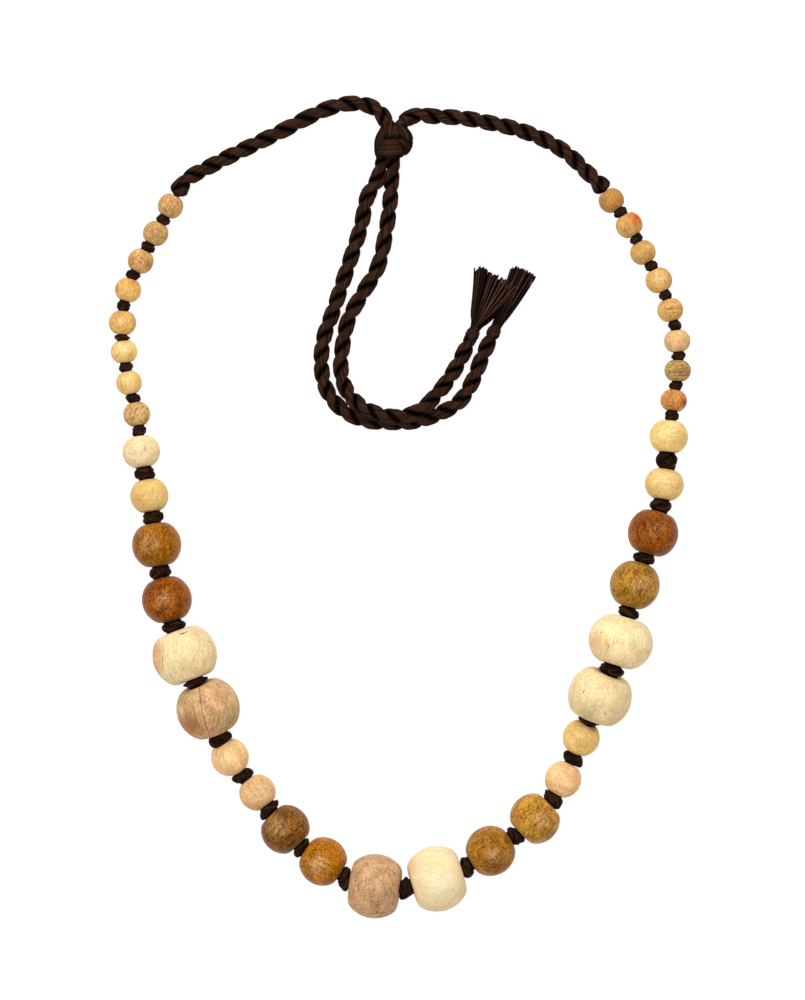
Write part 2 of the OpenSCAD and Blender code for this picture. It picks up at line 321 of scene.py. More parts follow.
# The beads in the order of the string, from the left cord down, round and up to the right cord
BEAD_NODES = [f"bead_left_{k:02d}" for k in range(1, 20)] + [f"bead_right_{k:02d}" for k in range(19, 0, -1)]
BEAD_POINTS = [node_points(name) for name in BEAD_NODES]
CENTRES = np.array([(points.min(0) + points.max(0)) / 2 for points in BEAD_POINTS])
RADII = np.array([np.ptp(points[:, 2]) / 2 for points in BEAD_POINTS])
BEFORE = CENTRES[np.maximum(np.arange(len(CENTRES)) - 1, 0)]
AFTER = CENTRES[np.minimum(np.arange(len(CENTRES)) + 1, len(CENTRES) - 1)]
AXES = unit(AFTER - BEFORE)
HALVES = np.array([((p - c) @ a).max() for p, c, a in zip(BEAD_POINTS, CENTRES, AXES)])
HOLES = np.array(
    [np.linalg.norm(np.cross(p - c, a), axis=1).min() for p, c, a in zip(BEAD_POINTS, CENTRES, AXES)]
)

# Camera
camera_data = bpy.data.cameras.new("camera")
camera_data.sensor_width = SENSOR
camera_data.lens = SENSOR * (CAMERA_HEIGHT - BEAD_LEVEL) / VIEW_HEIGHT
camera_data.clip_start = CLIP_START * MM
camera = new_object("camera", camera_data)
camera.location = (VIEW_MIDDLE[0] * MM, VIEW_MIDDLE[1] * MM, CAMERA_HEIGHT * MM)
bpy.context.scene.camera = camera


def give(tree, node, inputs):
    """Gives each of a node's inputs a value, or joins it to another node's socket."""
    for name, value in inputs.items():
        if isinstance(value, bpy.types.NodeSocket):
            tree.links.new(value, node.inputs[name])
        else:
            node.inputs[name].default_value = value


def add_node(tree, kind, inputs=None, **settings):
    """A shader node with its settings and inputs."""
    node = tree.nodes.new(kind)
    for name, value in settings.items():
        setattr(node, name, value)
    give(tree, node, inputs or {})
    return node


def calc(tree, operation, first, second=0.0, third=0.0, clamp=False):
    """A math node's result."""
    inputs = {0: first, 1: second, 2: third}
    return add_node(tree, "ShaderNodeMath", inputs, operation=operation, use_clamp=clamp).outputs[0]


def remap(tree, value, low, high, new_low=0.0, new_high=1.0):
    """The value moved smoothly from the first range to the second, and held at its ends."""
    inputs = {"Value": value, "From Min": low, "From Max": high, "To Min": new_low, "To Max": new_high}
    return add_node(tree, "ShaderNodeMapRange", inputs, interpolation_type="SMOOTHSTEP").outputs[0]


def blend(tree, factor, first, second, mode="MIX"):
    """Two colours mixed by a factor."""
    inputs = {0: factor, 6: first, 7: second}
    return add_node(tree, "ShaderNodeMix", inputs, data_type="RGBA", blend_type=mode).outputs[2]


def noise(tree, vector, scale, detail=2.0, roughness=0.5, distortion=0.0):
    """A noise texture's value."""
    inputs = {
        "Vector": vector, "Scale": scale, "Detail": detail, "Roughness": roughness, "Distortion": distortion
    }
    return add_node(tree, "ShaderNodeTexNoise", inputs).outputs["Fac"]


def stretch(tree, vector, by):
    """The vector with each of its parts multiplied."""
    return add_node(tree, "ShaderNodeVectorMath", {0: vector, 1: by}, operation="MULTIPLY").outputs[0]


def new_group(name, inputs, outputs):
    """An empty node group with its sockets: (tree, its inputs' sockets, its output node)."""
    tree = bpy.data.node_groups.new(name, "ShaderNodeTree")
    for socket, kind, value in inputs:
        item = tree.interface.new_socket(name=socket, in_out="INPUT", socket_type=kind)
        if value is not None:
            item.default_value = value
    for socket in outputs:
        tree.interface.new_socket(name=socket, in_out="OUTPUT", socket_type="NodeSocketFloat")
    source = tree.nodes.new("NodeGroupInput")
    return tree, source.outputs, tree.nodes.new("NodeGroupOutput")


def new_material(name):
    """A material with only its Principled shader and output: (material, tree, shader)."""
    material = bpy.data.materials.new(name)
    material.use_nodes = True
    return material, material.node_tree, material.node_tree.nodes["Principled BSDF"]


def wood_grain():
    """Wood as a block of fibres along the block's X: a fine mottle, streaks, a slow change of tone,
    growth rings round a far heart, pores as short dark specks along the fibres, and pale flecks that
    are painted glints of the polish."""
    outputs = ("Mottle", "Streaks", "Tone", "Rings", "Pores", "Painted Glints", "Height")
    tree, given, result = new_group(
        "wood grain",
        [
            ("Block", "NodeSocketVector", None),
            ("Ring Spacing", "NodeSocketFloat", 1.6),
            ("Pore Size", "NodeSocketFloat", 1.0),
            ("Mottle Squeeze", "NodeSocketFloat", 0.6),
        ],
        outputs,
    )
    block = given["Block"]
    squeeze = add_node(tree, "ShaderNodeCombineXYZ", {0: given["Mottle Squeeze"], 1: 1.0, 2: 1.0}).outputs[0]
    mottle = noise(tree, stretch(tree, block, squeeze), scale=2.2, roughness=0.7, distortion=0.35)
    mottle = remap(tree, mottle, 0.37, 0.63)
    streaks = noise(tree, stretch(tree, block, (0.17, 1.2, 1.2)), scale=1.0, detail=3.0, roughness=0.6)
    streaks = remap(tree, streaks, 0.35, 0.65)
    slow = stretch(tree, block, (0.6, 1, 1))
    tone = noise(tree, slow, scale=0.3, detail=4.0, roughness=0.6, distortion=0.5)
    tone = remap(tree, tone, 0.36, 0.64)
    wander = noise(tree, stretch(tree, block, (0.35, 1, 1)), scale=0.22)
    across = add_node(
        tree, "ShaderNodeVectorMath", {0: stretch(tree, block, (0, 1, 1))}, operation="LENGTH"
    ).outputs["Value"]
    depth = calc(tree, "MULTIPLY_ADD", wander, 5.0, across)
    phase = calc(tree, "FRACT", calc(tree, "DIVIDE", depth, given["Ring Spacing"]))
    rings = calc(tree, "POWER", phase, 2.2)
    cells = add_node(
        tree, "ShaderNodeVectorMath",
        {0: stretch(tree, block, (0.75, 1.9, 1.9)), 3: calc(tree, "DIVIDE", 1.0, given["Pore Size"])},
        operation="SCALE",
    ).outputs[0]
    nearness = add_node(tree, "ShaderNodeTexVoronoi", {"Vector": cells, "Scale": 1.0}).outputs["Distance"]
    crowd = noise(tree, stretch(tree, block, (0.3, 1, 1)), scale=0.6)
    reach = remap(tree, crowd, 0.3, 0.7, 0.22, 0.55)
    pores = calc(tree, "SUBTRACT", 1.0, calc(tree, "DIVIDE", nearness, reach), clamp=True)
    pores = remap(tree, pores, 0.0, 0.5)
    painted_glints = noise(tree, stretch(tree, block, (0.8, 1, 1)), scale=2.9, detail=1.0)
    painted_glints = remap(tree, painted_glints, 0.6, 0.72)
    height = calc(tree, "MULTIPLY_ADD", pores, -0.8, calc(tree, "MULTIPLY", mottle, 0.7))
    give(tree, result, dict(zip(outputs, (mottle, streaks, tone, rings, pores, painted_glints, height))))
    return tree


WOOD_GRAIN = wood_grain()
MARKS = ("mark_1", "mark_2", "mark_3")

# Woods: colour of the pale grain and of the dark grain, how far the rings, streaks, mottle and slow
# tone go from the first to the second, the pores' strength and size, the rings' spacing, the mottle's
# width across the fibres against its length along them, roughness and shine
WOOD_COLUMNS = (
    "colour", "deep", "rings", "streaks", "mottle", "tone", "pores", "pore_size", "spacing", "squeeze",
    "rough", "shine",
)
WOOD_ROWS = {
    "ivory": ((255, 236, 188), (236, 196, 138), 0.12, 0.16, 0.34, 0.24, 0.20, 0.8, 1.4, 0.5, 0.50, 0.12),
    "cream": ((255, 238, 188), (222, 178, 118), 0.12, 0.12, 0.36, 0.34, 0.32, 0.8, 1.7, 0.7, 0.50, 0.12),
    "straw": ((253, 222, 146), (212, 160, 84), 0.18, 0.14, 0.40, 0.34, 0.34, 0.8, 1.3, 0.6, 0.50, 0.12),
    "honey": ((250, 204, 124), (194, 134, 60), 0.22, 0.18, 0.46, 0.36, 0.38, 0.8, 1.1, 0.5, 0.48, 0.12),
    "peach": ((252, 214, 158), (212, 152, 96), 0.18, 0.16, 0.42, 0.36, 0.38, 0.8, 1.3, 0.6, 0.50, 0.12),
    "sand": ((240, 196, 130), (164, 110, 52), 0.12, 0.20, 0.56, 0.26, 0.45, 0.8, 1.2, 0.35, 0.52, 0.12),
    "tan": ((238, 198, 130), (142, 98, 44), 0.30, 0.26, 0.54, 0.24, 0.50, 0.8, 1.0, 0.3, 0.50, 0.12),
    "amber": ((230, 166, 86), (158, 90, 32), 0.22, 0.26, 0.50, 0.36, 0.45, 0.8, 1.0, 0.5, 0.46, 0.15),
    "rose": ((240, 196, 146), (168, 122, 80), 0.10, 0.20, 0.50, 0.40, 0.45, 0.8, 1.8, 0.7, 0.50, 0.12),
    "golden": ((214, 136, 26), (116, 62, 0), 0.16, 0.26, 0.56, 0.32, 0.90, 0.66, 1.6, 0.66, 0.36, 0.11),
    "russet": ((204, 114, 18), (94, 38, 0), 0.16, 0.28, 0.56, 0.32, 0.90, 0.66, 1.5, 0.66, 0.34, 0.11),
    "olive": ((220, 162, 64), (116, 74, 4), 0.16, 0.26, 0.56, 0.34, 0.90, 0.64, 1.6, 0.66, 0.36, 0.11),
    "umber": ((188, 124, 46), (78, 42, 0), 0.16, 0.30, 0.56, 0.34, 0.90, 0.64, 1.5, 0.62, 0.36, 0.11),
}
WOODS = {name: dict(zip(WOOD_COLUMNS, row)) for name, row in WOOD_ROWS.items()}
SLOT_WOODS = {
    "pale_wood": ("ivory", "cream", "straw", "honey", "peach"),
    "tan_wood": ("sand", "tan", "amber", "rose"),
    "brown_wood": ("golden", "russet", "olive", "umber"),
}
SLOTS = {wood: slot for slot, woods in SLOT_WOODS.items() for wood in woods}
# What a pore and a mark leave of the wood's red, green and blue, how strong the marks and the pale
# flecks painted as glints are, how deep a mark is against the grain, and the grain's height in millimetres
PORE_SHADE = (0.44, 0.29, 0.07, 1)
MARK_SHADE = (0.24, 0.13, 0.07, 1)
MARK_STRENGTH = 0.8
PAINTED_GLINT_STRENGTH = 0.35
MARK_DEPTH = -1.2
GRAIN_BUMP = 0.12
# Warm shine and sheen of the brown, oiled woods
OILED = {
    "Specular Tint": (1.0, 0.74, 0.52, 1), "Sheen Weight": 0.16, "Sheen Roughness": 0.35,
    "Sheen Tint": (1.0, 0.7, 0.44, 1),
}


def wood_material(name):
    """Wood that reads each bead's own block, tint with its painted highlights and shade, and marks: the
    tint darkens towards the wood's deep colour along rings, streaks, mottle and slow tone, then by pores
    and by scratches and cracks, and pale flecks painted as glints go back to the tint."""
    look = WOODS[name]
    material, tree, shader = new_material(f"{name} wood")
    block = add_node(tree, "ShaderNodeAttribute", attribute_name="block").outputs["Vector"]
    tint_and_painted_light = add_node(tree, "ShaderNodeAttribute", attribute_name="tint_and_painted_light").outputs["Color"]
    own_values = {
        "Block": block, "Ring Spacing": look["spacing"], "Pore Size": look["pore_size"],
        "Mottle Squeeze": look["squeeze"],
    }
    grain = add_node(tree, "ShaderNodeGroup", own_values, node_tree=WOOD_GRAIN).outputs
    deep = (*(seen(*look["deep"]) / seen(*look["colour"])), 1)
    depth = 0.0
    for part in ("Rings", "Streaks", "Mottle", "Tone"):
        depth = calc(tree, "MULTIPLY_ADD", grain[part], look[part.lower()], depth, clamp=True)
    colour = blend(tree, depth, tint_and_painted_light, deep, "MULTIPLY")
    pores = calc(tree, "MULTIPLY", grain["Pores"], look["pores"])
    colour = blend(tree, pores, colour, PORE_SHADE, "MULTIPLY")
    # Painted glints: pale flecks where the colour goes back to the tint
    colour = blend(tree, calc(tree, "MULTIPLY", grain["Painted Glints"], PAINTED_GLINT_STRENGTH), colour, tint_and_painted_light)
    height = grain["Height"]
    waver = calc(tree, "MULTIPLY_ADD", noise(tree, block, scale=1.6, detail=3.0), 3.0, -1.5)
    for mark in MARKS:
        place = add_node(tree, "ShaderNodeAttribute", attribute_name=mark).outputs["Vector"]
        parts = add_node(tree, "ShaderNodeSeparateXYZ", {0: place}).outputs
        off = calc(tree, "MULTIPLY_ADD", waver, parts["Z"], parts["Y"])
        square = calc(tree, "MULTIPLY_ADD", parts["X"], parts["X"], calc(tree, "MULTIPLY", off, off))
        mask = calc(tree, "SUBTRACT", 1.0, remap(tree, square, 0.15, 1.0))
        colour = blend(tree, calc(tree, "MULTIPLY", mask, MARK_STRENGTH), colour, MARK_SHADE, "MULTIPLY")
        height = calc(tree, "MULTIPLY_ADD", mask, MARK_DEPTH, height)
    rough = calc(tree, "MULTIPLY_ADD", grain["Mottle"], 0.12, look["rough"] - 0.05)
    bump = add_node(
        tree, "ShaderNodeBump", {"Height": height, "Strength": 0.6, "Distance": GRAIN_BUMP * MM}
    )
    give(tree, shader, {"Base Color": colour, "Roughness": rough, "Normal": bump.outputs["Normal"]})
    give(tree, shader, {"Specular IOR Level": look["shine"]})
    if SLOTS[name] == "brown_wood":
        give(tree, shader, OILED)
    return material


# Spun yarn: how far the stripes of its strands slant across it, in radians, and turn for each
# millimetre along it, how far the yarns differ and the darkest one's tone, how strong the dust and
# the stripes are, how much light the shade painted in a groove takes, and the height of its roughness
# in millimetres
YARN_SLANT = 2.2
YARN_TURN = 9.0
YARN_CONTRAST = 1.3
YARN_DARKEST = 0.08
DUST_STRENGTH = 0.7
STRIPE_STRENGTH = 0.12
PAINTED_SHADE_STRENGTH = 0.97
YARN_BUMP = 0.08


def spun_yarn():
    """Spun yarn from texture values that are the yarn's number across and millimetres along: each yarn
    has its own tone, slanting stripes across it are the turns of its strands, and it is painted darker
    as shade towards its sides and by the shade painted in grooves and between parts."""
    tree, given, result = new_group(
        "spun yarn",
        [
            ("Texture", "NodeSocketVector", None),
            ("Place", "NodeSocketVector", None),
            ("Painted Shade", "NodeSocketFloat", 0.0),
        ],
        ("Shade", "Height"),
    )
    parts = add_node(tree, "ShaderNodeSeparateXYZ", {0: given["Texture"]}).outputs
    number = calc(tree, "FLOOR", parts["X"])
    within = calc(tree, "FRACT", parts["X"])
    own = add_node(tree, "ShaderNodeTexWhiteNoise", {"W": number}, noise_dimensions="1D").outputs["Value"]
    turned = calc(tree, "MULTIPLY", parts["Y"], YARN_TURN)
    slant = calc(tree, "MULTIPLY_ADD", within, YARN_SLANT, turned)
    strand_wave = calc(tree, "SINE", slant)
    arch = calc(tree, "SINE", calc(tree, "MULTIPLY", within, math.pi))
    dust = noise(tree, given["Place"], scale=700.0, detail=3.0)
    shade = calc(tree, "MULTIPLY_ADD", own, YARN_CONTRAST, YARN_DARKEST)
    shade = calc(tree, "MULTIPLY_ADD", dust, DUST_STRENGTH, shade)
    shade = calc(tree, "MULTIPLY_ADD", strand_wave, STRIPE_STRENGTH, shade)
    # Painted shade: each yarn darker towards its sides, then darker by the shade painted on the skin
    shade = calc(tree, "MULTIPLY", shade, remap(tree, arch, 0.1, 0.95, 0.12, 1.0))
    shade = calc(tree, "MULTIPLY", shade, calc(tree, "MULTIPLY_ADD", given["Painted Shade"], -PAINTED_SHADE_STRENGTH, 1.0))
    height = calc(tree, "MULTIPLY_ADD", strand_wave, 0.4, noise(tree, given["Place"], scale=5200.0))
    give(tree, result, {"Shade": shade, "Height": height})
    return tree


SPUN_YARN = spun_yarn()


def yarn_material(name, colour, rough, shine):
    """Spun yarn of one colour on a skin that has the yarns' texture values as its own map and the shade
    painted on it, in grooves, under yarns and between parts, as its depth attribute."""
    material, tree, shader = new_material(name)
    own_values = {
        "Texture": add_node(tree, "ShaderNodeUVMap", uv_map="yarn").outputs["UV"],
        "Place": add_node(tree, "ShaderNodeTexCoord").outputs["Object"],
        "Painted Shade": add_node(tree, "ShaderNodeAttribute", attribute_name="depth").outputs["Fac"],
    }
    yarn = add_node(tree, "ShaderNodeGroup", own_values, node_tree=SPUN_YARN).outputs
    shade = yarn["Shade"]
    grey = add_node(tree, "ShaderNodeCombineXYZ", {0: shade, 1: shade, 2: shade}).outputs[0]
    colour = blend(tree, 1.0, grey, (*seen(*colour), 1), "MULTIPLY")
    bump = add_node(
        tree, "ShaderNodeBump", {"Height": yarn["Height"], "Strength": 0.5, "Distance": YARN_BUMP * MM}
    )
    give(tree, shader, {"Base Color": colour, "Normal": bump.outputs["Normal"]})
    give(tree, shader, {"Roughness": rough, "Specular IOR Level": shine})
    return material


CORD_YARN = yarn_material("brown cord yarn", (58, 34, 20), 0.5, 0.03)
LOOSE_YARN = yarn_material("brown tassel yarn", (104, 68, 52), 0.5, 0.02)

# Routes of the cords' middle lines, from the end of a bead or the slide knot
left_cord_start = CENTRES[0] - AXES[0] * (HALVES[0] + 0.2)
right_cord_start = CENTRES[-1] + AXES[-1] * (HALVES[-1] + 0.2)
NECK_LEFT_ROUTE = [
    left_cord_start,
    left_cord_start - AXES[0] * 3,
    [-65.5, 102.2, 2.7],
    [-60, 105.3, 2.5],
    [-52.4, 109.2, 2.5],
    [-44.3, 113.1, 2.5],
    [-35.9, 117.2, 2.5],
    [-27.8, 121.4, 2.5],
    [-22, 123.9, 2.5],
    [-16, 125.3, 2.5],
    [-10.2, 124.8, 2.6],
    [-6, 122.4, 3],
    [-4, 118.8, 3.4],
]
NECK_RIGHT_ROUTE = [
    right_cord_start,
    right_cord_start + AXES[-1] * 3,
    [58.5, 103.8, 2.6],
    [52.5, 109.5, 2.5],
    [45.5, 113.8, 2.5],
    [37.5, 117, 2.5],
    [28.5, 119.2, 2.5],
    [19.5, 120.8, 2.5],
    [11, 121.3, 2.6],
    [5, 121.4, 4],
    [0.8, 119.4, 5.4],
]
TAIL_LEFT_ROUTE = [
    [-5.6, 106.8, 3],
    [-6.7, 102.3, 2.7],
    [-10, 96.5, 2.5],
    [-12, 87.5, 2.5],
    [-15, 78, 2.5],
    [-18, 69, 2.5],
    [-21, 60, 2.5],
    [-23.5, 53, 2.5],
    [-24.5, 44.5, 2.5],
    [-23.2, 36.9, 2.5],
    [-18.2, 30.1, 2.5],
    [-11, 26.6, 2.5],
    [-3, 25.9, 2.5],
    [3.8, 26.1, 2.5],
    [11.2, 28.2, 2.5],
    [18.5, 32.3, 2.5],
    [22.8, 39, 2.5],
    [25.5, 45.8, 2.5],
    [28.8, 53, 2.8],
]
TAIL_RIGHT_ROUTE = [
    [-2.1, 106.2, 6],
    [-2.6, 101.7, 4.5],
    [-3, 95, 2.7],
    [-4.5, 84.5, 2.5],
    [-7, 74, 2.5],
    [-12, 65.5, 2.5],
    [-16, 58, 2.5],
    [-17.8, 50, 2.5],
    [-18.4, 43, 2.7],
    [-16.8, 36.3, 4.2],
    [-12, 30.8, 6.4],
    [-6, 28.2, 7.5],
    [0.2, 27.5, 7.6],
    [6, 29.4, 7.1],
    [11, 34, 4.6],
    [15.8, 40.2, 2.6],
    [19.2, 46.1, 2.5],
    [22.2, 52.4, 2.8],
]

# Places along each cord, in millimetres from its start, where its two plies lie side by side
NECK_LEFT_CROSSINGS = {0: 3, 2: 15, 4: 27.2, 6: 40.4, 8: 55.5, 10: 69, 11: 74.6}
NECK_RIGHT_CROSSINGS = {0: 2.3, 2: 13.8, 4: 25.5, 6: 37.4, 8: 49.3, 10: 61.5, 11: 68.2}
TAIL_LEFT_CROSSINGS = {
    0: 5, 2: 18, 4: 31, 6: 44.5, 8: 56.6, 10: 68.5, 12: 80, 14: 92.7, 16: 104.5, 18: 116, 20: 128, 22: 140.5
}
TAIL_RIGHT_CROSSINGS = {
    0: 5.3, 2: 17.8, 4: 32.5, 6: 46.6, 8: 60.3, 10: 73.6, 12: 85.6, 14: 98.5, 16: 112.5, 18: 124.5
}


def ply_turns(along, crossings):
    """Angle of the two plies about the cord at each place: half a turn from one crossing to the next,
    with the same slope past the first and last, smoothed over a few millimetres."""
    numbers = np.array(list(crossings), float)
    places = np.array(list(crossings.values()), float)
    start = (numbers[1] - numbers[0]) / (places[1] - places[0])
    end = (numbers[-1] - numbers[-2]) / (places[-1] - places[-2])
    numbers = np.concatenate([[numbers[0] - 20 * start], numbers, [numbers[-1] + 20 * end]])
    places = np.concatenate([[places[0] - 20], places, [places[-1] + 20]])
    near = np.linspace(-4, 4, 9)
    return math.pi * np.interp(along[:, None] + near, places, numbers).mean(1)


def twisted_cord(name, node, route, crossings, bead_end):
    """Two plies of yarn wound round each other along a route: each ply's middle goes round the route,
    farther from it at a bead and nearer at the knot and the tassel, and its yarns turn back against the
    plies so that they lie along the cord. A core painted dark as shade fills the middle, and the groove
    between the plies is painted darker. A cord that hangs from the slide knot starts a few steps before
    its route, inside the knot."""
    path = smooth_route(route, CORD_STEP)
    hidden = 0 if bead_end else HIDDEN_STEPS
    back = unit((path[0] - path[4]) * [1, 1, -0.4])
    line = np.concatenate([path[0] + back * CORD_STEP * np.arange(hidden, 0, -1)[:, None], path])
    along = distances(line)
    lifted = line + UP * CORD_LIFT
    side, above, _ = level_frames(line)
    turns = ply_turns(along - hidden * CORD_STEP, crossings)
    core = np.full(len(line), CORE_RADIUS)
    if bead_end:
        rounding = 1 - (np.maximum(END_LENGTH - along, 0) / END_RADIUS) ** 2
        offset = PLY_OFFSET * (1 + 0.3 * swelling(along, SWELLING_AT, 1.8))
        size = (1 + 0.12 * swelling(along, SWELLING_AT, 1.6)) * np.sqrt(np.clip(rounding, 0.05, 1))
        core += 0.4 * ease((THICK_CORE_TO - along) / 1.5)
    else:
        at_tassel = ease((along - along[-1]) / TASSEL_TAPER + 1)
        at_knot = ease(1 - along / KNOT_TAPER)
        offset = PLY_OFFSET * (1 - 0.25 * at_tassel - 0.3 * at_knot)
        size = 1 - 0.18 * at_tassel - 0.25 * at_knot
    skin = Skin(name)
    for ply in range(2):
        theta = (turns + math.pi * ply)[:, None]
        outward = side * np.cos(theta) + above * np.sin(theta)
        round_about = above * np.cos(theta) - side * np.sin(theta)
        grid = bundle(
            lifted + outward * offset[:, None], outward, round_about,
            PLY_RADIAL * size, PLY_ROUND * size, PLY_YARNS, PLY_UNTWIST * turns, PLY_RIDGE,
        )
        # Painted shade in the groove between the plies, darker nearer the cord's middle line
        reach = np.linalg.norm(grid - lifted[:, None], axis=-1)
        depth = ease((GROOVE_FROM - reach) / (GROOVE_FROM - GROOVE_TO))
        skin.add(grid, yarn_numbers(PLY_YARNS, ply * PLY_YARNS), along, depth)
    # The core, painted dark as shade
    inner = slice(1, -1)
    radius = core[inner]
    grid = bundle(lifted[inner], side[inner], above[inner], radius, radius, CORE_YARNS, 0.0, 0.05)
    skin.add(grid, yarn_numbers(CORE_YARNS), along[inner], CORE_SHADE)
    return skin.piece(CORD_YARN, node), path * MM


neck_left, neck_left_path = twisted_cord(
    "twisted_neck_cord_left", "neck_cord_left", NECK_LEFT_ROUTE, NECK_LEFT_CROSSINGS, True
)
neck_right, neck_right_path = twisted_cord(
    "twisted_neck_cord_right", "neck_cord_right", NECK_RIGHT_ROUTE, NECK_RIGHT_CROSSINGS, True
)
tail_left, tail_left_path = twisted_cord(
    "twisted_tail_cord_left", "tail_cord_left", TAIL_LEFT_ROUTE, TAIL_LEFT_CROSSINGS, False
)
tail_right, tail_right_path = twisted_cord(
    "twisted_tail_cord_right", "tail_cord_right", TAIL_RIGHT_ROUTE, TAIL_RIGHT_CROSSINGS, False
)


# Slide knot: its middle, the fat strands that run into it or bulge out of it, and the yarns of its
# inside, painted dark as shade. A strand has a short route, its half width, its yarns and the lengths
# at its start and end that lie in the shade and are painted darker, -1 where that end is in full light
KNOT_MIDDLE = np.array([-2.0, 111.0, 4.6])
KNOT_STRANDS = [
    ([[-3.5, 119.9, 3.3], [-3.5, 117.6, 4.6], [-3.4, 115.0, 5.2], [-3.2, 112.0, 4.9]], 1.9, 18, -1, 2.7),
    ([[2.2, 119.7, 4.9], [0.6, 118.4, 5.2], [-0.8, 116.8, 5.5], [-1.3, 114.6, 5.6], [-1.4, 112.0, 5.0]],
     1.8, 17, -1, 2.9),
    ([[-1.3, 118.4, 4.6], [-0.2, 117.3, 5.8], [1.2, 115.9, 6.5], [2.2, 114.4, 6.2], [2.5, 112.8, 5.2]],
     1.7, 17, -1, 1.2),
    ([[-3.6, 117.8, 3.6], [-4.9, 115.8, 4.4], [-5.9, 113.6, 4.9], [-6.1, 111.4, 4.9], [-5.8, 109.4, 4.4],
      [-5.1, 108.2, 3.6]], 1.8, 18, -1, 0.6),
    ([[2.3, 114.8, 3.4], [2.6, 112.9, 3.8], [2.0, 111.1, 4.0], [0.4, 109.7, 3.8]], 1.4, 14, 2.6, -1),
    ([[-0.9, 113.2, 6.8], [0.5, 112.9, 7.9], [1.7, 111.9, 7.7], [1.9, 110.6, 6.7], [1.0, 109.6, 5.6]],
     0.85, 9, 1.0, -1),
]
INNER_YARNS = 20
# A strand's step, how proud its yarns stand, and the length over which its painted shade fades
STRAND_STEP = 0.4
STRAND_RIDGE = 0.13
SHADE_FADE = 1.3
# Front band: its yarns, and the loop it follows: half its width and height, how square it is, how far
# its middle is to the left, and the half width over which it sags
BAND_YARNS = 30
LOOP_HALF_WIDTH = 3.75
LOOP_HALF_HEIGHT = 3.55
LOOP_POWER = 2.4
LOOP_LEFT = 0.65
SAG_HALF_WIDTH = 5.5


def end_rounding(along, width):
    """Share of full width along a strand whose two ends are rounded: a quarter circle at each."""
    near_end = np.minimum(along, along[-1] - along)
    return np.sqrt(np.clip(1 - (1 - np.clip(near_end / width, 0, 1)) ** 2, 0.02, 1))


def strand(skin, route, half_width, yarns, shade_start, shade_end, number):
    """A fat strand of parallel yarns along a short route, round in section, with rounded ends. Its
    ends in the shade and the yarns that are low down are painted darker as shade."""
    line = smooth_route(route, STRAND_STEP)
    along = distances(line)
    side, above, _ = level_frames(line)
    width = half_width * end_rounding(along, half_width * 0.8)
    grid = bundle(line, side, above, width, width, yarns, 0.1 * along, STRAND_RIDGE)
    height = (grid[..., 2] - line[:, None, 2]) / half_width
    # Painted shade: darker towards the strand's shaded ends and on its lower yarns
    at_start = ease((shade_start + 0.8 - along) / SHADE_FADE)
    at_end = ease((shade_end + 0.8 - (along[-1] - along)) / SHADE_FADE)
    shade = np.maximum(at_start, at_end)
    depth = together(0.98 * shade[:, None], 0.8 * ease((1 - height) / 0.45))
    skin.add(grid, yarn_numbers(yarns, number), along, depth)


def wrapped_band(skin, number):
    """The knot's front band: a flat bundle of yarns side by side that goes once round the knot on a
    rounded loop |x/a|^p + |z/b|^p = 1, wider in front, sagging a little in the middle. Its edges and
    the loop's sides are painted darker as shade."""
    angle = np.linspace(0, TAU, 90, endpoint=False)
    c, s = np.cos(angle), np.sin(angle)
    power = LOOP_POWER
    reach = (np.abs(c / LOOP_HALF_WIDTH) ** power + np.abs(s / LOOP_HALF_HEIGHT) ** power) ** (-1 / power)
    x, z = reach * c - LOOP_LEFT, reach * s
    front = ease(s)
    sag = front * (1 - (x / SAG_HALF_WIDTH) ** 2)
    line = KNOT_MIDDLE + np.stack([x, 0.25 + 0.04 * x - 0.5 * sag, z], -1)
    forward = loop_forward(line)
    along_band = square_to(forward, np.array([0.0, 1.0, 0.0]))
    out = np.cross(forward, along_band)
    half_wide = 2.35 + 0.3 * front
    waver = 0.05 * np.sin(2 * angle + 0.6) + 0.03 * np.sin(5 * angle)
    grid = bundle(line, out, -along_band, 0.55 + 0.15 * front, half_wide, BAND_YARNS, waver, 0.2)
    low = ease((line[:, None, 1] + 1 - grid[..., 1]) / 3)
    grid[..., 1] -= 0.45 * low * sag[:, None]
    run = distances(line)
    # Painted shade: darker towards the band's edges and on the loop's sides
    edge = np.abs(grid[..., 1] - line[:, None, 1]) / 2.6
    sides = ease((np.abs(c) - 0.55) / 0.35)[:, None]
    depth = together(0.75 * ease((edge - 0.82) / 0.2), 0.6 * sides)
    skin.add(grid, yarn_numbers(BAND_YARNS, number), np.append(run, run[-1] + 0.3), depth, looped=True)


def slide_knot():
    """An inside painted dark as shade, the fat strands that go into it and the band wrapped round them."""
    skin = Skin("wrapped_slide_knot")
    line = smooth_route(KNOT_MIDDLE + np.array([[0.1, -2.6, -0.4], [0, 1, -0.4], [0.1, 6.6, -0.4]]), 0.5)
    along = distances(line)
    side, above, _ = level_frames(line)
    width = end_rounding(along, 2.0)
    grid = bundle(line, side, above, (4.3 - 0.25 * along) * width, 2.6 * width, INNER_YARNS, 0.0, 0.0)
    # The inside, painted dark as shade
    skin.add(grid, yarn_numbers(INNER_YARNS), along, 0.9)
    wrapped_band(skin, 30)
    for k, row in enumerate(KNOT_STRANDS):
        strand(skin, *row, 60 + 20 * k)
    skin.piece(CORD_YARN, "slide_knot")


slide_knot()

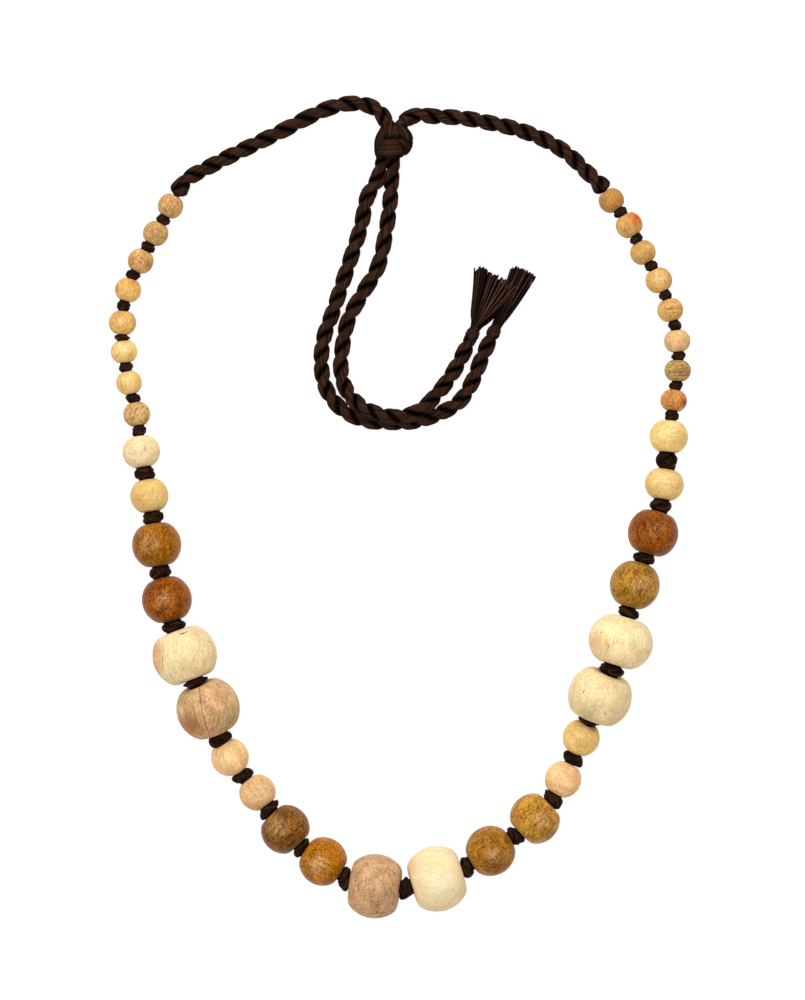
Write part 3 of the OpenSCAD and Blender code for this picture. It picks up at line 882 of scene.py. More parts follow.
# Tassels: headings of the first and last yarn, how they rise in the lowest and highest layer, two
# points of the slanting line that the tips are cut to, which side lies in the shade between the two
# tassels, the number of yarns and the seed
LEFT_TASSEL = dict(
    first=84.5, last=45.5, low_rise=-5, high_rise=6, cut_from=(23.0, 75.5), cut_to=(33.2, 69.6),
    inner=1, yarns=115, seed=5,
)
RIGHT_TASSEL = dict(
    first=70, last=57, low_rise=0, high_rise=12, cut_from=(34.8, 74.8), cut_to=(41.2, 71.7),
    inner=-1, yarns=95, seed=6,
)
# Yarns of the left tassel that stray over the right one: heading and rise
STRAYS = [(57, 17), (52, 19), (47, 16), (60, 15), (44, 17)]
STRAY_PLACE = 0.45
TASSEL_YARN = 0.25
YARN_SIDES = 8
# How dark the yarns of the top layer are painted, one after another: thin light ones between dark
# ones that are painted shade between the yarns
TOP_YARN_SHADES = (0.0, 1.0, 0.3, 1.0, 0.0, 0.95, 0.5)
# How far the yarns' headings, in degrees, and their lengths scatter, and how far the yarns waver
# sideways and up
HEADING_SCATTER = 0.8
LENGTH_SCATTER = 0.3
SIDE_WAVER = 0.22
RISE_WAVER = 0.2
# Yarns of the knob on the cord's end, half width of the neck where the loose yarns start, how far that
# is from the cord's end, and the whipping: the radius of its helix, its turns and its thread's radius
KNOB_YARNS = 14
NECK_HALF = 1.55
ROOT_AT = 1.6
WHIPPING_RADIUS = 1.85
WHIPPING_TURNS = 3.5
WHIPPING_THREAD = 0.3


def waver(random, size, u):
    """A seeded wave along a yarn that grows towards its tip."""
    return random.normal(0, size) * np.sin(u * random.uniform(2, 6) + random.uniform(0, 6)) * u


def tassel_neck(skin, neck, inward, across, above):
    """A knob of yarns at a cord's end, and the whipping wound round it as a helix, both painted dark."""
    line = smooth_route([neck - inward * 0.5, neck + inward * 1.5, neck + inward * 3.6], 0.3)
    side, up, _ = level_frames(line)
    along = distances(line)
    knob = 1.75 + 0.35 * swelling(along, 1.1, 0.7) - 0.3 * ease((along - 2) / 2)
    grid = bundle(line, side, up, knob, knob, KNOB_YARNS, 0.5 * along, 0.14)
    skin.add(grid, yarn_numbers(KNOB_YARNS), along, 0.8)
    turn = np.linspace(0, TAU * WHIPPING_TURNS, 90)[:, None]
    climb = np.linspace(0.3, 2.1, 90)[:, None]
    helix = neck + inward * climb + WHIPPING_RADIUS * (across * np.cos(turn) + above * np.sin(turn))
    add_yarn(skin, helix, WHIPPING_THREAD, 200, 0.72)


def cut_length(start, direction, look):
    """How far a yarn goes until it meets the line, seen from above, that the tips are cut to."""
    a, b = np.array(look["cut_from"]), np.array(look["cut_to"])
    across_cut = np.array([-(b - a)[1], (b - a)[0]])
    return ((a - start[:2]) @ across_cut) / (direction[:2] @ across_cut)


def tassel(name, node, path, look, strays=()):
    """A whipped neck and a fan of loose yarns: each yarn is a wavy tube from the neck, its heading and
    rise spread over the fan, cut off round at its tip. Lower yarns, yarns near the neck, those on the
    side towards the other tassel and the dark ones of the top layer are painted darker as shade."""
    random = np.random.default_rng(look["seed"])
    neck = path[-1] / MM + UP * CORD_LIFT
    inward = unit(path[-1] - path[-4])
    across = unit(np.cross(UP, inward))
    above = np.cross(inward, across)
    skin = Skin(name)
    tassel_neck(skin, neck, inward, across, above)
    yarns = look["yarns"]
    u = np.append(np.linspace(0, 0.975, 13), [0.985, 0.993, 1.0])
    bend = ease(u / 0.3)[:, None]
    # Painted shade near the neck, where the yarns crowd together
    neck_shade = 0.75 * (1 - ease(u / 0.6))
    for k in range(yarns + len(strays)):
        stray = k >= yarns
        if stray:
            spread, layer = STRAY_PLACE, 1
            heading, rise = strays[k - yarns]
        else:
            spread, layer = (k + 0.5) / yarns, (k * 2 % 5) / 2 - 1
            heading = look["first"] + (look["last"] - look["first"]) * spread
            heading += random.normal(0, HEADING_SCATTER)
            rise = look["low_rise"] + (look["high_rise"] - look["low_rise"]) * (layer + 1) / 2
        room = math.sqrt(max(0.08, 1 - (2 * spread - 1) ** 2))
        start = neck + inward * ROOT_AT
        start = start + NECK_HALF * (across * (1 - 2 * spread) * 0.85 + above * layer * 0.8 * room)
        direction = heading_vector(heading, rise)
        length = cut_length(start, direction, look) + random.normal(0, LENGTH_SCATTER)
        length -= 1.4 * max(0, 1 - spread / 0.12)
        route = start + (inward * (1 - bend) + direction * bend) * (u * length)[:, None]
        route = route + np.cross(UP, direction) * waver(random, SIDE_WAVER, u)[:, None]
        route = route + UP * waver(random, RISE_WAVER, u)[:, None]
        route[:, 2] = np.maximum(route[:, 2], TASSEL_YARN + 0.02)
        # Painted shade: a painted shadow on the side towards the other tassel near the neck, lower layers
        # darker, and dark top yarns between thin light ones
        shade = 0.98 * ease((look["inner"] * (spread - 0.5) + 0.12) / 0.3) * (1 - ease((u - 0.25) / 0.5))
        top_yarn_shade = TOP_YARN_SHADES[k // 5 % len(TOP_YARN_SHADES)] * random.uniform(0.85, 1)
        deep = together(0.97 * ease((1.05 - layer) / 0.6), top_yarn_shade)
        if stray:
            shade, deep = 0, 0
        radius = TASSEL_YARN * (0.6 if deep < 0.6 else 1)
        add_yarn(skin, route, radius, 20 + k, together(shade, deep, neck_shade))
    return skin.piece(LOOSE_YARN, node)


def add_yarn(skin, line, radius, number, depth):
    """A single round yarn along a line, its two ends drawn in to blunt tips. Its under side is painted
    darker as shade."""
    along = distances(line)
    forward = unit(np.gradient(line, axis=0))
    side = unit(np.cross(UP + 0.001, forward))
    above = np.cross(forward, side)
    tip = np.clip(np.minimum(along, along[-1] - along) / radius, 0, 1)
    thick = radius * np.sqrt(np.clip(1 - (1 - tip) ** 2, 0.4, 1))
    turn = np.linspace(0, TAU, YARN_SIDES, endpoint=False) - math.pi / 2
    ring = side[:, None] * np.cos(turn)[None, :, None] + above[:, None] * np.sin(turn)[None, :, None]
    # Painted shade on the yarn's under side
    under_side_shade = 0.96 * ease((1 - np.sin(turn)) / 0.42)
    depth = together(np.broadcast_to(depth, len(line))[:, None], under_side_shade)
    across = number + 0.3 + 0.4 * np.arange(YARN_SIDES + 1) / YARN_SIDES
    skin.add(line[:, None] + ring * thick[:, None, None], across, along, depth)


tassel_right = tassel("frayed_tassel_right", "tassel_right", tail_left_path, RIGHT_TASSEL)
tassel_left = tassel("frayed_tassel_left", "tassel_left", tail_right_path, LEFT_TASSEL, STRAYS)

# Beads
# Look of each bead: wood, how light against the wood's own colour, squatness (0 a ball, 1 narrow
# flats), heading of its fibres from above, their tilt, soft patches (colour, place, radius and
# strength) and marks (place, heading, half length, half width and how far they wander). Some patches
# are the wood's own colour, and some are painted highlights and painted shade, as said at each bead
LOOK_COLUMNS = ("wood", "light", "squat", "heading", "tilt", "colour_and_painted_light_patches", "marks")
BEAD_LOOKS = {
    "bead_left_01": ("sand", 1.0, 0.0, 60, 10, [], []),
    "bead_left_02": ("sand", 0.92, 0.0, 100, 10, [], []),
    # Painted shade: the dark patch at the lower right of bead_left_03
    "bead_left_03": ("sand", 1.05, 0.0, 115, 10, [((180, 128, 66), 2.5, -1.5, 2.5, 0.4)], []),
    "bead_left_04": ("honey", 1.05, 0.6, 85, 0, [((250, 205, 130), 0.5, -0.5, 2.5, 0.6)], []),
    # Painted highlights: the pale patches on the upper side of bead_left_05 to bead_left_07
    "bead_left_05": ("honey", 1.05, 0.8, 90, 0, [((255, 220, 150), -0.5, 1.2, 2.6, 0.8)], []),
    "bead_left_06": ("straw", 1.0, 0.3, 100, 0, [((255, 236, 175), 0, 1.2, 2.6, 0.8)], []),
    "bead_left_07": ("straw", 1.0, 0.2, 100, 0, [((255, 232, 160), -0.5, 1, 2.8, 0.6)], []),
    "bead_left_08": ("tan", 1.14, 0.2, 65, 0, [], []),
    # Painted highlight: the pale patch on the upper side of bead_left_09
    "bead_left_09": ("cream", 1.0, 0.8, 10, 0, [((255, 244, 195), -1, 1.5, 4, 0.7)],
                     [(1.6, 1.0, 92, 1.3, 0.12, 0.15)]),
    "bead_left_10": ("straw", 0.97, 0.4, 35, 0, [((240, 190, 120), -3, -2, 4, 0.5)], []),
    # bead_left_11: its pale patch in the middle is a painted highlight, its dark one low down painted shade
    "bead_left_11": ("golden", 0.89, 0.2, 100, 0,
                     [((184, 128, 16), 0, -5, 6, 0.7), ((238, 174, 118), -1.9, 0.6, 4.8, 0.85)],
                     [(5.4, -2.0, 60, 0.7, 0.3, 0.2)]),
    # bead_left_12: its pale patch in the middle is a painted highlight, its dark one at the lower right
    # painted shade
    "bead_left_12": ("russet", 0.95, 0.2, 60, 0,
                     [((226, 156, 96), -0.5, 0, 5.0, 0.8), ((168, 106, 20), 5, -4, 4, 0.5)],
                     [(6.3, 0.2, 20, 1.0, 0.4, 0.3), (-3.5, 4.2, 50, 0.9, 0.25, 0.2)]),
    # bead_left_13: its pale patch in the middle is a painted highlight; its orange patches on the left are
    # the wood's own colour
    "bead_left_13": ("cream", 1.0, 0.0, 95, 0,
                     [((255, 250, 200), -1.0, 1.5, 6, 0.9), ((236, 176, 120), -9.4, 2.2, 4.8, 0.95),
                      ((236, 176, 120), -9.2, -3.4, 4.8, 0.95)],
                     [(0.1, 7.2, 22, 1.7, 0.3, 0.3), (-6.2, -1.6, 92, 2.6, 0.11, 0.3),
                      (-4.0, -5.5, 120, 0.7, 0.2, 0.3)]),
    "bead_left_14": ("rose", 1.1, 0.0, 105, 0,
                     [((255, 206, 152), 2.2, 3.5, 6.0, 0.9), ((186, 116, 46), -4.5, -4.8, 6.0, 0.9),
                      ((200, 180, 124), 7, -2.5, 6, 0.8), ((220, 190, 128), -6, 4, 5, 0.7)],
                     [(-1.8, 4.2, 98, 5.6, 0.22, 0.14), (-0.1, -3.9, 104, 6.6, 0.24, 0.16)]),
    # Painted highlights: the pale patches of bead_left_15 and bead_left_16
    "bead_left_15": ("peach", 1.18, 0.2, 120, 0, [((255, 236, 184), -1.5, 0.5, 3.6, 0.8)], []),
    "bead_left_16": ("peach", 0.98, 0.2, 130, 0, [((255, 222, 165), -0.5, 1.2, 3.5, 0.5)], []),
    # bead_left_17: its pale patches in the middle are painted highlights, its dark one low down painted shade
    "bead_left_17": ("umber", 0.9, 0.2, 60, 0,
                     [((212, 160, 104), -2, 1.5, 5.0, 0.9), ((150, 92, 20), 2, -6, 5, 0.7),
                      ((250, 196, 140), -1.3, 0, 2.0, 0.9)],
                     [(3.5, 0.6, 43, 2.6, 0.16, 0.2), (2.6, -1.0, 45, 1.8, 0.14, 0.2),
                      (5.2, 1.6, 40, 1.0, 0.14, 0.1)]),
    # bead_left_18: its pale patch in the middle is a painted highlight, its dark one low down painted shade
    "bead_left_18": ("golden", 1.2, 0.2, 150, 0,
                     [((255, 202, 146), -1.3, -0.4, 5.0, 0.9), ((170, 112, 26), 2.5, -6, 4, 0.6)], []),
    "bead_left_19": ("rose", 1.02, 0.0, 90, 0,
                     [((240, 196, 145), -2, 3, 6, 0.6), ((196, 160, 124), 4, -3, 5, 0.6)],
                     [(0.6, -7.0, 20, 0.7, 0.5, 0.2), (-5.0, 0.5, 95, 2.4, 0.14, 0.3)]),
    # bead_right_19: its pale patch in the middle is a painted highlight
    "bead_right_19": ("ivory", 1.03, 0.0, 10, 0,
                      [((250, 212, 168), -9, 4, 6, 0.8), ((255, 250, 214), 0.5, -0.5, 7, 0.95)], []),
    # bead_right_18: its pale patch in the middle is a painted highlight, its dark one low down painted shade
    "bead_right_18": ("olive", 1.06, 0.2, 30, 0,
                      [((204, 126, 30), 0, 0, 16, 0.6), ((242, 184, 132), 1.4, -0.9, 4.5, 0.85),
                       ((196, 112, 18), 2.5, -6.2, 5, 0.85)],
                      [(-3.0, 3.4, 30, 0.9, 0.25, 0.3)]),
    # bead_right_17: its pale pink patch in the middle is a painted highlight, its dark one low down painted
    # shade
    "bead_right_17": ("olive", 1.4, 0.2, 50, 0,
                      [((250, 204, 148), 1.7, 0.5, 4.4, 0.85), ((240, 192, 92), -2.6, -2.8, 3.4, 0.8),
                       ((160, 112, 50), 4.5, -5, 3.5, 0.5)],
                      [(-0.4, -1.0, 125, 1.3, 0.25, 0.3)]),
    # Painted highlight: the pale patch of bead_right_16
    "bead_right_16": ("peach", 1.18, 0.2, 150, 0, [((255, 230, 176), -0.5, 1, 3.8, 0.8)], []),
    "bead_right_15": ("straw", 1.06, 0.3, 157, 0,
                      [((255, 226, 150), -1.5, -1.0, 3.4, 0.7), ((192, 136, 72), 3.5, 3.5, 3.2, 0.7)], []),
    "bead_right_14": ("cream", 1.0, 0.0, 70, 0,
                      [((214, 202, 140), -4, -4.5, 4.5, 0.7), ((255, 240, 190), 2.5, 1.5, 5.5, 0.7),
                       ((214, 176, 124), 4, 7.5, 3.5, 0.5)],
                      [(-5.4, 2.0, 60, 0.8, 0.25, 0.3), (1.0, -4.6, 110, 0.7, 0.2, 0.3)]),
    # bead_right_13: its pale patch at the upper right is a painted highlight
    "bead_right_13": ("cream", 1.12, 0.75, 80, 0,
                      [((244, 204, 150), -8, 0, 5.5, 0.8), ((255, 250, 200), 2.5, 2.5, 6, 0.8)],
                      [(-4.4, -1.2, 70, 0.7, 0.2, 0.2), (-6.4, 3.2, 40, 0.6, 0.2, 0.2)]),
    # bead_right_12: its pale patch in the middle is a painted highlight
    "bead_right_12": ("olive", 1.06, 0.2, 70, 0,
                      [((240, 188, 136), 1.7, 0.0, 4.4, 0.8), ((150, 96, 24), -5, -2, 4, 0.4)],
                      [(-2.4, -4.4, 10, 0.9, 0.25, 0.3)]),
    # bead_right_11: its pale patch is a painted highlight
    "bead_right_11": ("russet", 0.86, 0.2, 88, 0,
                      [((210, 138, 82), 0.5, 1.5, 4.6, 0.7)],
                      [(-3.4, 2.0, 85, 2.2, 0.2, 0.3), (4.2, -1.5, 95, 1.8, 0.2, 0.3)]),
    # Painted highlights: the pale patches of bead_right_10 and bead_right_09
    "bead_right_10": ("straw", 1.04, 0.8, 10, 0, [((255, 238, 180), 0, 1, 4.5, 0.6)], []),
    "bead_right_09": ("straw", 1.12, 0.7, 170, 0, [((255, 244, 185), 0.5, 1.5, 4.5, 0.8)], []),
    "bead_right_08": ("amber", 1.2, 0.7, 80, 0,
                      [((232, 172, 104), -1.5, 1, 2.6, 0.6), ((160, 76, 36), 3.4, -0.6, 2.4, 0.8)], []),
    "bead_right_07": ("tan", 0.9, 0.8, 3, 0, [],
                      [(0.1, -0.6, 2, 3.7, 0.15, 0.04), (0.3, -1.6, 0, 3.2, 0.12, 0.04),
                       (-0.2, 1.4, 4, 2.6, 0.1, 0.04)]),
    # Painted highlight: the pale patch of bead_right_06
    "bead_right_06": ("peach", 0.94, 0.7, 100, 0, [((252, 206, 136), 0, 0.6, 3.4, 0.7)], []),
    # bead_right_05: its pale patch on the upper side is a painted highlight
    "bead_right_05": ("honey", 0.97, 0.7, 5, 0,
                      [((252, 218, 168), 0, 2.0, 2.4, 0.8), ((196, 144, 88), 0, 0.2, 1.3, 0.6)],
                      [(0.0, 0.2, 5, 3.0, 0.1, 0.03), (0.3, -1.0, 3, 3.0, 0.08, 0.03)]),
    # Painted highlights: the pale patches of bead_right_04 and bead_right_03
    "bead_right_04": ("honey", 0.98, 0.3, 110, 0, [((252, 220, 160), 0.2, 0.4, 4.4, 0.8)], []),
    "bead_right_03": ("honey", 0.84, 0.2, 120, 0, [((250, 205, 130), -0.4, 0.8, 2.2, 0.5)], []),
    "bead_right_02": ("honey", 0.88, 0.1, 120, 0,
                      [((222, 112, 48), 2.2, 2.2, 4.6, 1.0), ((236, 176, 126), -0.5, -1, 3, 0.5)], []),
    "bead_right_01": ("honey", 0.66, 0.1, 120, 0, [((204, 132, 40), 0.6, 0, 7, 0.6)], []),
}
# Bead's section: how sharply its round side meets its flat end, the half length of the round side of
# the squattest ones against the bead's own, the rounding of the hole's mouth and the dimple's width
END_SHARPNESS = 20
SQUAT_BELLY = 1.10
MOUTH_BEVEL = 0.35
DIMPLE_WIDTH = 2.6
# Points of a small and of a big bead's section and round it, and the radius from which it is big
SMALL_POINTS = (22, 48)
BIG_POINTS = (36, 72)
BIG_FROM = 7.0
# How far a bead's radius is off, as a share of it, by the number of waves round it
UNEVEN = {2: 0.004, 3: 0.003}
# Radius from which a bead has a dimple round its hole, and the dimples' depths
DIMPLED_FROM = 9.0
DIMPLE_DEPTH = 0.5
DEEP_DIMPLES = {"bead_right_14": 1.1}
# Place of a mark that a bead doesn't have, in the mark's half lengths and half widths
FAR_AWAY = 50.0
MATERIALS = {name: wood_material(name) for name in WOODS}


def bead_profile(radius, half, hole, squat, dimple, count):
    """Closed half section of a bead as (distance from the axis, place along it): from its middle the
    reach at an angle is (belly^-p + flat^-p)^(-1/p), where belly is an ellipse and flat the distance
    to the end's plane, then a rounded mouth and the straight hole."""
    angle = np.linspace(0.001, math.pi / 2, 900)
    belly_along = radius + (SQUAT_BELLY * half - radius) * squat
    belly = ((np.cos(angle) / radius) ** 2 + (np.sin(angle) / belly_along) ** 2) ** -0.5
    p = END_SHARPNESS
    reach = (belly**-p + (half / np.sin(angle)) ** -p) ** (-1 / p)
    r = reach * np.cos(angle)
    z = reach * np.sin(angle) - dimple * (1 - ease((r - hole) / DIMPLE_WIDTH))
    kept = r > hole + MOUTH_BEVEL
    r, z = even_steps(np.stack([r[kept], z[kept]], -1), count).T
    turn = np.linspace(0, math.pi / 2, 5)[1:]
    r = np.append(r, hole + MOUTH_BEVEL * (1 - np.sin(turn)))
    z = np.append(z, z[-1] - MOUTH_BEVEL * (1 - np.cos(turn)))
    outer = np.stack([np.append(r[:0:-1], r), np.append(-z[:0:-1], z)], -1)
    bore = np.array([[hole, 0.5 * z[-1]], [hole, 0.0], [hole, -0.5 * z[-1]]])
    return np.concatenate([outer, bore])


def frame_to(axis):
    """Two directions square to the axis and the axis itself, as the rows of a turn."""
    side = unit(np.cross(UP, axis))
    return np.stack([np.cross(axis, side), side, axis])


def turned_bead(index, name):
    """A bead turned about its hole: its half section swept round the axis, with a slight seeded
    unevenness of its radius."""
    look = dict(zip(LOOK_COLUMNS, BEAD_LOOKS[name]))
    random = np.random.default_rng(100 + index)
    radius, half, hole = RADII[index], HALVES[index], HOLES[index]
    along, around = BIG_POINTS if radius > BIG_FROM else SMALL_POINTS
    dimple = DEEP_DIMPLES.get(name, DIMPLE_DEPTH) if radius > DIMPLED_FROM else 0.0
    profile = bead_profile(radius, half, hole, look["squat"], dimple, along)
    angle = np.linspace(0, TAU, around, endpoint=False)
    uneven = sum(share * np.cos(waves * angle + random.uniform(0, 6)) for waves, share in UNEVEN.items())
    r = profile[:, :1] * (1 + uneven - uneven.max())
    local = np.stack([r * np.cos(angle), r * np.sin(angle), np.broadcast_to(profile[:, 1:], r.shape)], -1)
    offset = (local @ frame_to(AXES[index])).reshape(-1, 3)
    rows = len(profile)
    _, _, quads = grid_faces(rows, around, rows)
    mesh = bpy.data.meshes.new(f"turned_{name}")
    mesh.from_pydata(((CENTRES[index] + offset) * MM).tolist(), [], quads.tolist())
    set_attribute(mesh, "block", "FLOAT_VECTOR", block_places(offset, look, random))
    # The tint holds the bead's colour with its painted highlights and painted shade
    set_attribute(mesh, "tint_and_painted_light", "FLOAT_COLOR", bead_tint_and_painted_light(offset, look))
    for k, mark in enumerate(MARKS):
        given = look["marks"][k] if k < len(look["marks"]) else None
        set_attribute(mesh, mark, "FLOAT_VECTOR", mark_places(offset, given))
    finished_piece(f"turned_{name}", mesh, MATERIALS[look["wood"]], name)


def block_places(offset, look, random):
    """Where each point was in the block the bead was cut from: fibres along X at the look's heading
    and tilt, turned about X and moved off the tree's heart by seeded amounts."""
    fibre = heading_vector(look["heading"], look["tilt"])
    level = unit(np.cross(UP, fibre))
    third = np.cross(fibre, level)
    roll = random.uniform(0, TAU)
    a = level * math.cos(roll) + third * math.sin(roll)
    b = third * math.cos(roll) - level * math.sin(roll)
    away = random.uniform(10, 22)
    return offset @ np.stack([fibre, a, b], 1) + [random.uniform(-200, 200), away, random.uniform(-2, 2)]


def bead_tint_and_painted_light(offset, look):
    """The wood's colour, lighter or darker for each bead, mixed in soft round patches with other
    colours: a patch has a colour, a place, a radius and a strength. Some patches are the wood's own
    colour, and some are painted highlights and painted shade. The last part is 1."""
    base = seen(*WOODS[look["wood"]]["colour"]) * look["light"]
    tint_and_painted_light = np.tile(base, (len(offset), 1))
    # Patches, some of them painted highlights and painted shade
    for colour, x, y, reach, strength in look["colour_and_painted_light_patches"]:
        off = np.hypot(offset[:, 0] - x, offset[:, 1] - y) / reach
        share = strength * (1 - ease(off)) * ease(offset[:, 2] / 3 + 1)
        tint_and_painted_light = tint_and_painted_light + (seen(*colour) - tint_and_painted_light) * share[:, None]
    return np.append(np.clip(tint_and_painted_light, 0, 1), np.ones((len(tint_and_painted_light), 1)), 1)


def mark_places(offset, mark):
    """Place of each point relative to a mark, in half lengths along it and half widths across it, far
    away where the bead has none or the point is on its lower side. The third part is how much the
    mark wanders."""
    if mark is None:
        return np.tile([FAR_AWAY, FAR_AWAY, 0.0], (len(offset), 1))
    x, y, heading, half_length, half_width, wander = mark
    turn = math.radians(heading)
    dx, dy = offset[:, 0] - x, offset[:, 1] - y
    along = (dx * math.cos(turn) + dy * math.sin(turn)) / half_length
    across = (dy * math.cos(turn) - dx * math.sin(turn)) / half_width
    below = np.where(offset[:, 2] < 0, FAR_AWAY, 0.0)
    return np.stack([along + below, across, np.full(len(offset), wander / half_width)], -1)


for index, name in enumerate(BEAD_NODES):
    turned_bead(index, name)

# Thread, and the gap between a knot and a bead
THREAD_RADIUS = 0.85
THREAD_YARNS = 6
THREAD_STEP = 1.5
KNOT_GAP = 0.1
# Knots: the places along a knot's strand, its half width against the solid's, the strand's and the
# core's against the knot's, its longest length against its half width, how far its ends are drawn in,
# and the yarns of its core
KNOT_ROWS = 66
KNOT_FULLNESS = 1.06
STRAND_SHARE = 0.36
CORE_SHARE = 0.72
LONGEST_KNOT = 1.9
KNOT_DRAWN_IN = 0.22
KNOT_CORE_YARNS = 10
# Yarns in the strand of a thin knot and of a fat one, and the half width from which it is fat
THIN_KNOT_YARNS = 8
FAT_KNOT_YARNS = 10
FAT_FROM = 2.6
THREAD_POINTS = np.concatenate([node_points("thread_left"), node_points("thread_right")])


def knot_half_width(index):
    """Half width of the solid knot after a bead: the largest distance of the thread's corners from
    the line between the two beads' ends, near the middle of the gap."""
    a = CENTRES[index] + AXES[index] * HALVES[index]
    b = CENTRES[index + 1] - AXES[index + 1] * HALVES[index + 1]
    direction = unit(b - a)
    points = THREAD_POINTS - (a + b) / 2
    near = np.abs(points @ direction) < np.linalg.norm(b - a) / 2 + 0.6
    off = np.linalg.norm(np.cross(points[near], direction), axis=1)
    return off[off < 5].max()


def bead_end_distance(index, points):
    """Distance along a bead's axis from its centre to its surface, at points' distances from that
    axis: the flat end inside, and outside it the round side falling away."""
    offset = points - CENTRES[index]
    off_axis = np.linalg.norm(offset - (offset @ AXES[index])[..., None] * AXES[index], axis=-1)
    belly = np.sqrt(np.clip(RADII[index] ** 2 - off_axis**2, 0, None))
    return np.minimum(HALVES[index], belly) + KNOT_GAP


def overhand_knot(skin, index, number, phase, hand):
    """A tight overhand knot as a trefoil: its strand goes twice round the string while it swings three
    times in and out and from one bead to the other. It fills the room between the beads' ends, and is
    drawn in towards both. It is painted darker as shade nearer its middle, and its core is painted dark."""
    a = CENTRES[index] + AXES[index] * (HALVES[index] + KNOT_GAP)
    b = CENTRES[index + 1] - AXES[index + 1] * (HALVES[index + 1] + KNOT_GAP)
    middle = (a + b) / 2
    half = knot_half_width(index) * KNOT_FULLNESS
    turn = frame_to(unit(b - a))
    t = np.linspace(0, TAU, KNOT_ROWS, endpoint=False)
    swing = half * (0.5 + 0.15 * np.cos(3 * t))
    line = np.stack(
        [swing * np.cos(2 * t + phase), swing * np.sin(2 * t + phase), 0.42 * hand * np.sin(3 * t) * half], -1
    )
    forward = loop_forward(line)
    out = square_to(forward, line * [1, 1, 0])
    yarns = FAT_KNOT_YARNS if half > FAT_FROM else THIN_KNOT_YARNS
    thick = STRAND_SHARE * half
    twist = np.linspace(0, TAU * 3 / yarns, KNOT_ROWS, endpoint=False)
    grid = bundle(line, out, np.cross(forward, out), thick, thick * 1.15, yarns, twist, 0.13)
    place = np.tanh(1.4 * grid[..., 2] / (0.8 * half)) / np.tanh(1.4) * 0.5 + 0.5
    drawn_in = 1 - KNOT_DRAWN_IN * np.abs(2 * place - 1) ** 3
    lateral = (grid[..., :1] * turn[0] + grid[..., 1:2] * turn[1]) * drawn_in[..., None]
    around = middle + lateral
    low = (CENTRES[index] - around) @ AXES[index] + bead_end_distance(index, around)
    high = (CENTRES[index + 1] - around) @ AXES[index + 1] - bead_end_distance(index + 1, around)
    low = low / (turn[2] @ AXES[index])
    high = high / (turn[2] @ AXES[index + 1])
    room = np.clip(high - low, 0.4, LONGEST_KNOT * half)
    points = around + turn[2] * ((high + low) / 2 + room * (place - 0.5))[..., None]
    run = distances(line)
    reach = np.linalg.norm(lateral, axis=-1) / half
    # Painted shade: darker nearer the knot's middle
    depth = 0.18 + 0.72 * ease((0.9 - reach) / 0.4)
    skin.add(points, yarn_numbers(yarns, number), np.append(run, run[-1] + 0.2), depth, looped=True)
    # The knot's core, painted dark as shade
    core = np.array([a - turn[2] * 0.4, middle, b + turn[2] * 0.4])
    thick = CORE_SHARE * half
    grid = bundle(core, turn[0][None], turn[1][None], thick, thick, KNOT_CORE_YARNS, 0.0, 0.06)
    skin.add(grid, yarn_numbers(KNOT_CORE_YARNS, number), distances(core), 0.85)


# Knots whose look is given one by one, by the number of the bead before them: turn of the trefoil in
# degrees, and which way its strands slant
KNOT_TURNS = {8: (40, 1), 9: (100, 1), 10: (20, -1), 11: (60, 1), 12: (0, -1), 13: (75, 1)}


def thread_piece(name, node, start, end, beads, knots):
    """A thread from start to end through the middles of its beads, with its knots."""
    skin = Skin(name)
    stops = np.array([start, *[CENTRES[k] for k in beads], end])
    line = even_steps(stops, steps_of(stops, THREAD_STEP))
    side, above, _ = level_frames(line)
    along = distances(line)
    grid = bundle(line, side, above, THREAD_RADIUS, THREAD_RADIUS, THREAD_YARNS, along * 0.8, 0.12)
    # The thread, painted dark as shade inside the beads and under the knots
    skin.add(grid, yarn_numbers(THREAD_YARNS), along, 0.9)
    for index in knots:
        random = np.random.default_rng(500 + index)
        turn, hand = KNOT_TURNS.get(index, (random.uniform(0, 360), random.choice([-1, 1])))
        overhand_knot(skin, index, 10 * index + 30, math.radians(turn), hand)
    skin.piece(CORD_YARN, node)


# The two threads meet inside the bead of this number
MIDDLE = 19
join_gap = AXES[MIDDLE] * 0.1
thread_piece(
    "knotted_thread_left", "thread_left", left_cord_start, CENTRES[MIDDLE] - join_gap,
    range(0, MIDDLE), range(0, MIDDLE),
)
thread_piece(
    "knotted_thread_right", "thread_right", CENTRES[MIDDLE] + join_gap, right_cord_start,
    range(MIDDLE + 1, len(CENTRES)), range(MIDDLE, len(CENTRES) - 1),
)

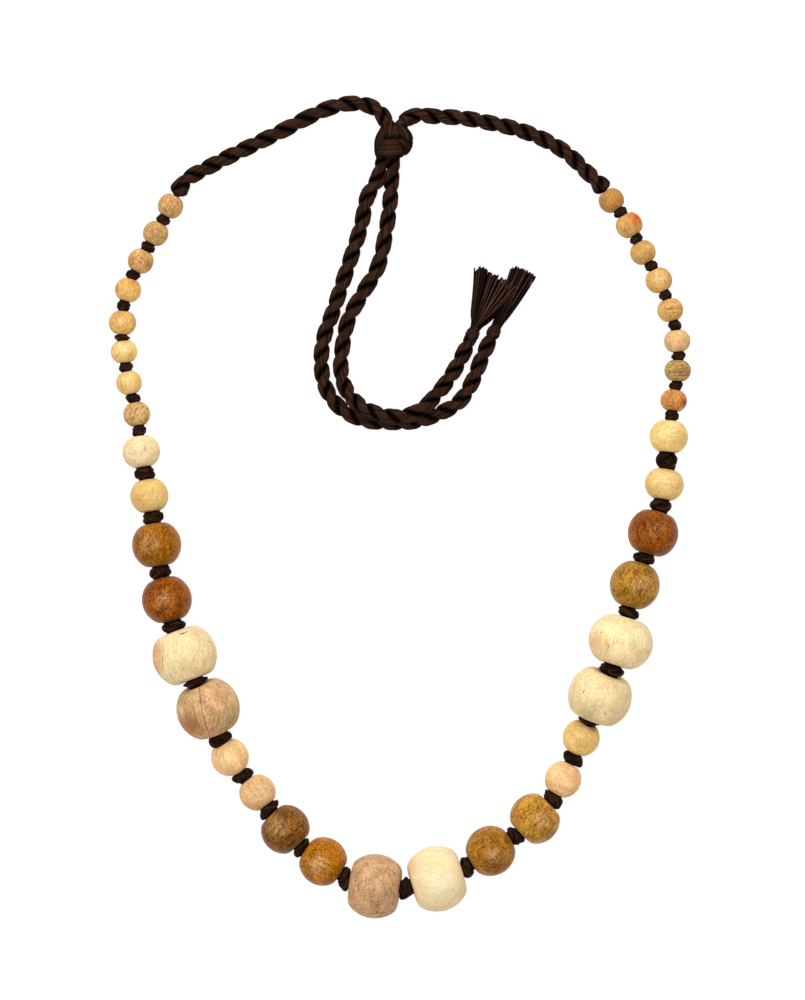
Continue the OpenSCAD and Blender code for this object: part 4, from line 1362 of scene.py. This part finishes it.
# Floor: a white table, with half its width in metres
FLOOR_HALF = 3
floor_mesh = bpy.data.meshes.new("floor")
corners = [(x * FLOOR_HALF, y * FLOOR_HALF, 0) for x, y in ((-1, -1), (1, -1), (1, 1), (-1, 1))]
floor_mesh.from_pydata(corners, [], [(0, 1, 2, 3)])
floor_material, floor_tree, floor_shader = new_material("white table")
give(floor_tree, floor_shader, {
    "Base Color": (0.22, 0.22, 0.22, 1), "Roughness": 0.9,
    "Emission Color": (1, 1, 1, 1), "Emission Strength": 0.84,
})
floor_mesh.materials.append(floor_material)
new_object("floor", floor_mesh)

# Room: as pale as the table where it shows past the table's edge, while it lights only a little
ROOM_SEEN = 0.9
ROOM_LIGHT = 0.2
world = bpy.data.worlds.new("studio")
bpy.context.scene.world = world
world.use_nodes = True
room_tree = world.node_tree
straight = add_node(room_tree, "ShaderNodeLightPath").outputs["Is Camera Ray"]
strength = calc(room_tree, "MULTIPLY_ADD", straight, ROOM_SEEN - ROOM_LIGHT, ROOM_LIGHT)
give(room_tree, room_tree.nodes["Background"], {"Color": (1, 1, 1, 1), "Strength": strength})


def softbox(name, place, size, power, shine_only=False):
    """A square soft light aimed at the middle of the necklace, or one that only shows as a shine."""
    light = bpy.data.lights.new(name, "AREA")
    light.shape = "SQUARE"
    light.size = size
    light.energy = power
    lamp = new_object(name, light)
    lamp.location = place
    lamp.rotation_euler = (-Vector(place)).to_track_quat("-Z", "Y").to_euler()
    lamp.visible_camera = False
    lamp.visible_diffuse = not shine_only
    lamp.visible_glossy = shine_only


# Lights: name, place, size and power, in metres and watts
softbox("overhead light", (-0.15, 0.12, 0.95), 0.9, 8.6)
softbox("shine light", (-0.14, 0.02, 0.93), 0.35, 13, shine_only=True)
softbox("far light", (0.0, 0.5, 0.22), 0.4, 1.9)
softbox("left light", (-0.6, 0.05, 0.4), 0.4, 1.0)
softbox("right light", (0.6, 0.05, 0.4), 0.4, 0.9)
softbox("near light", (0.0, -0.62, 0.4), 0.4, 0.6)
bpy.context.scene.view_settings.view_transform = "Standard"
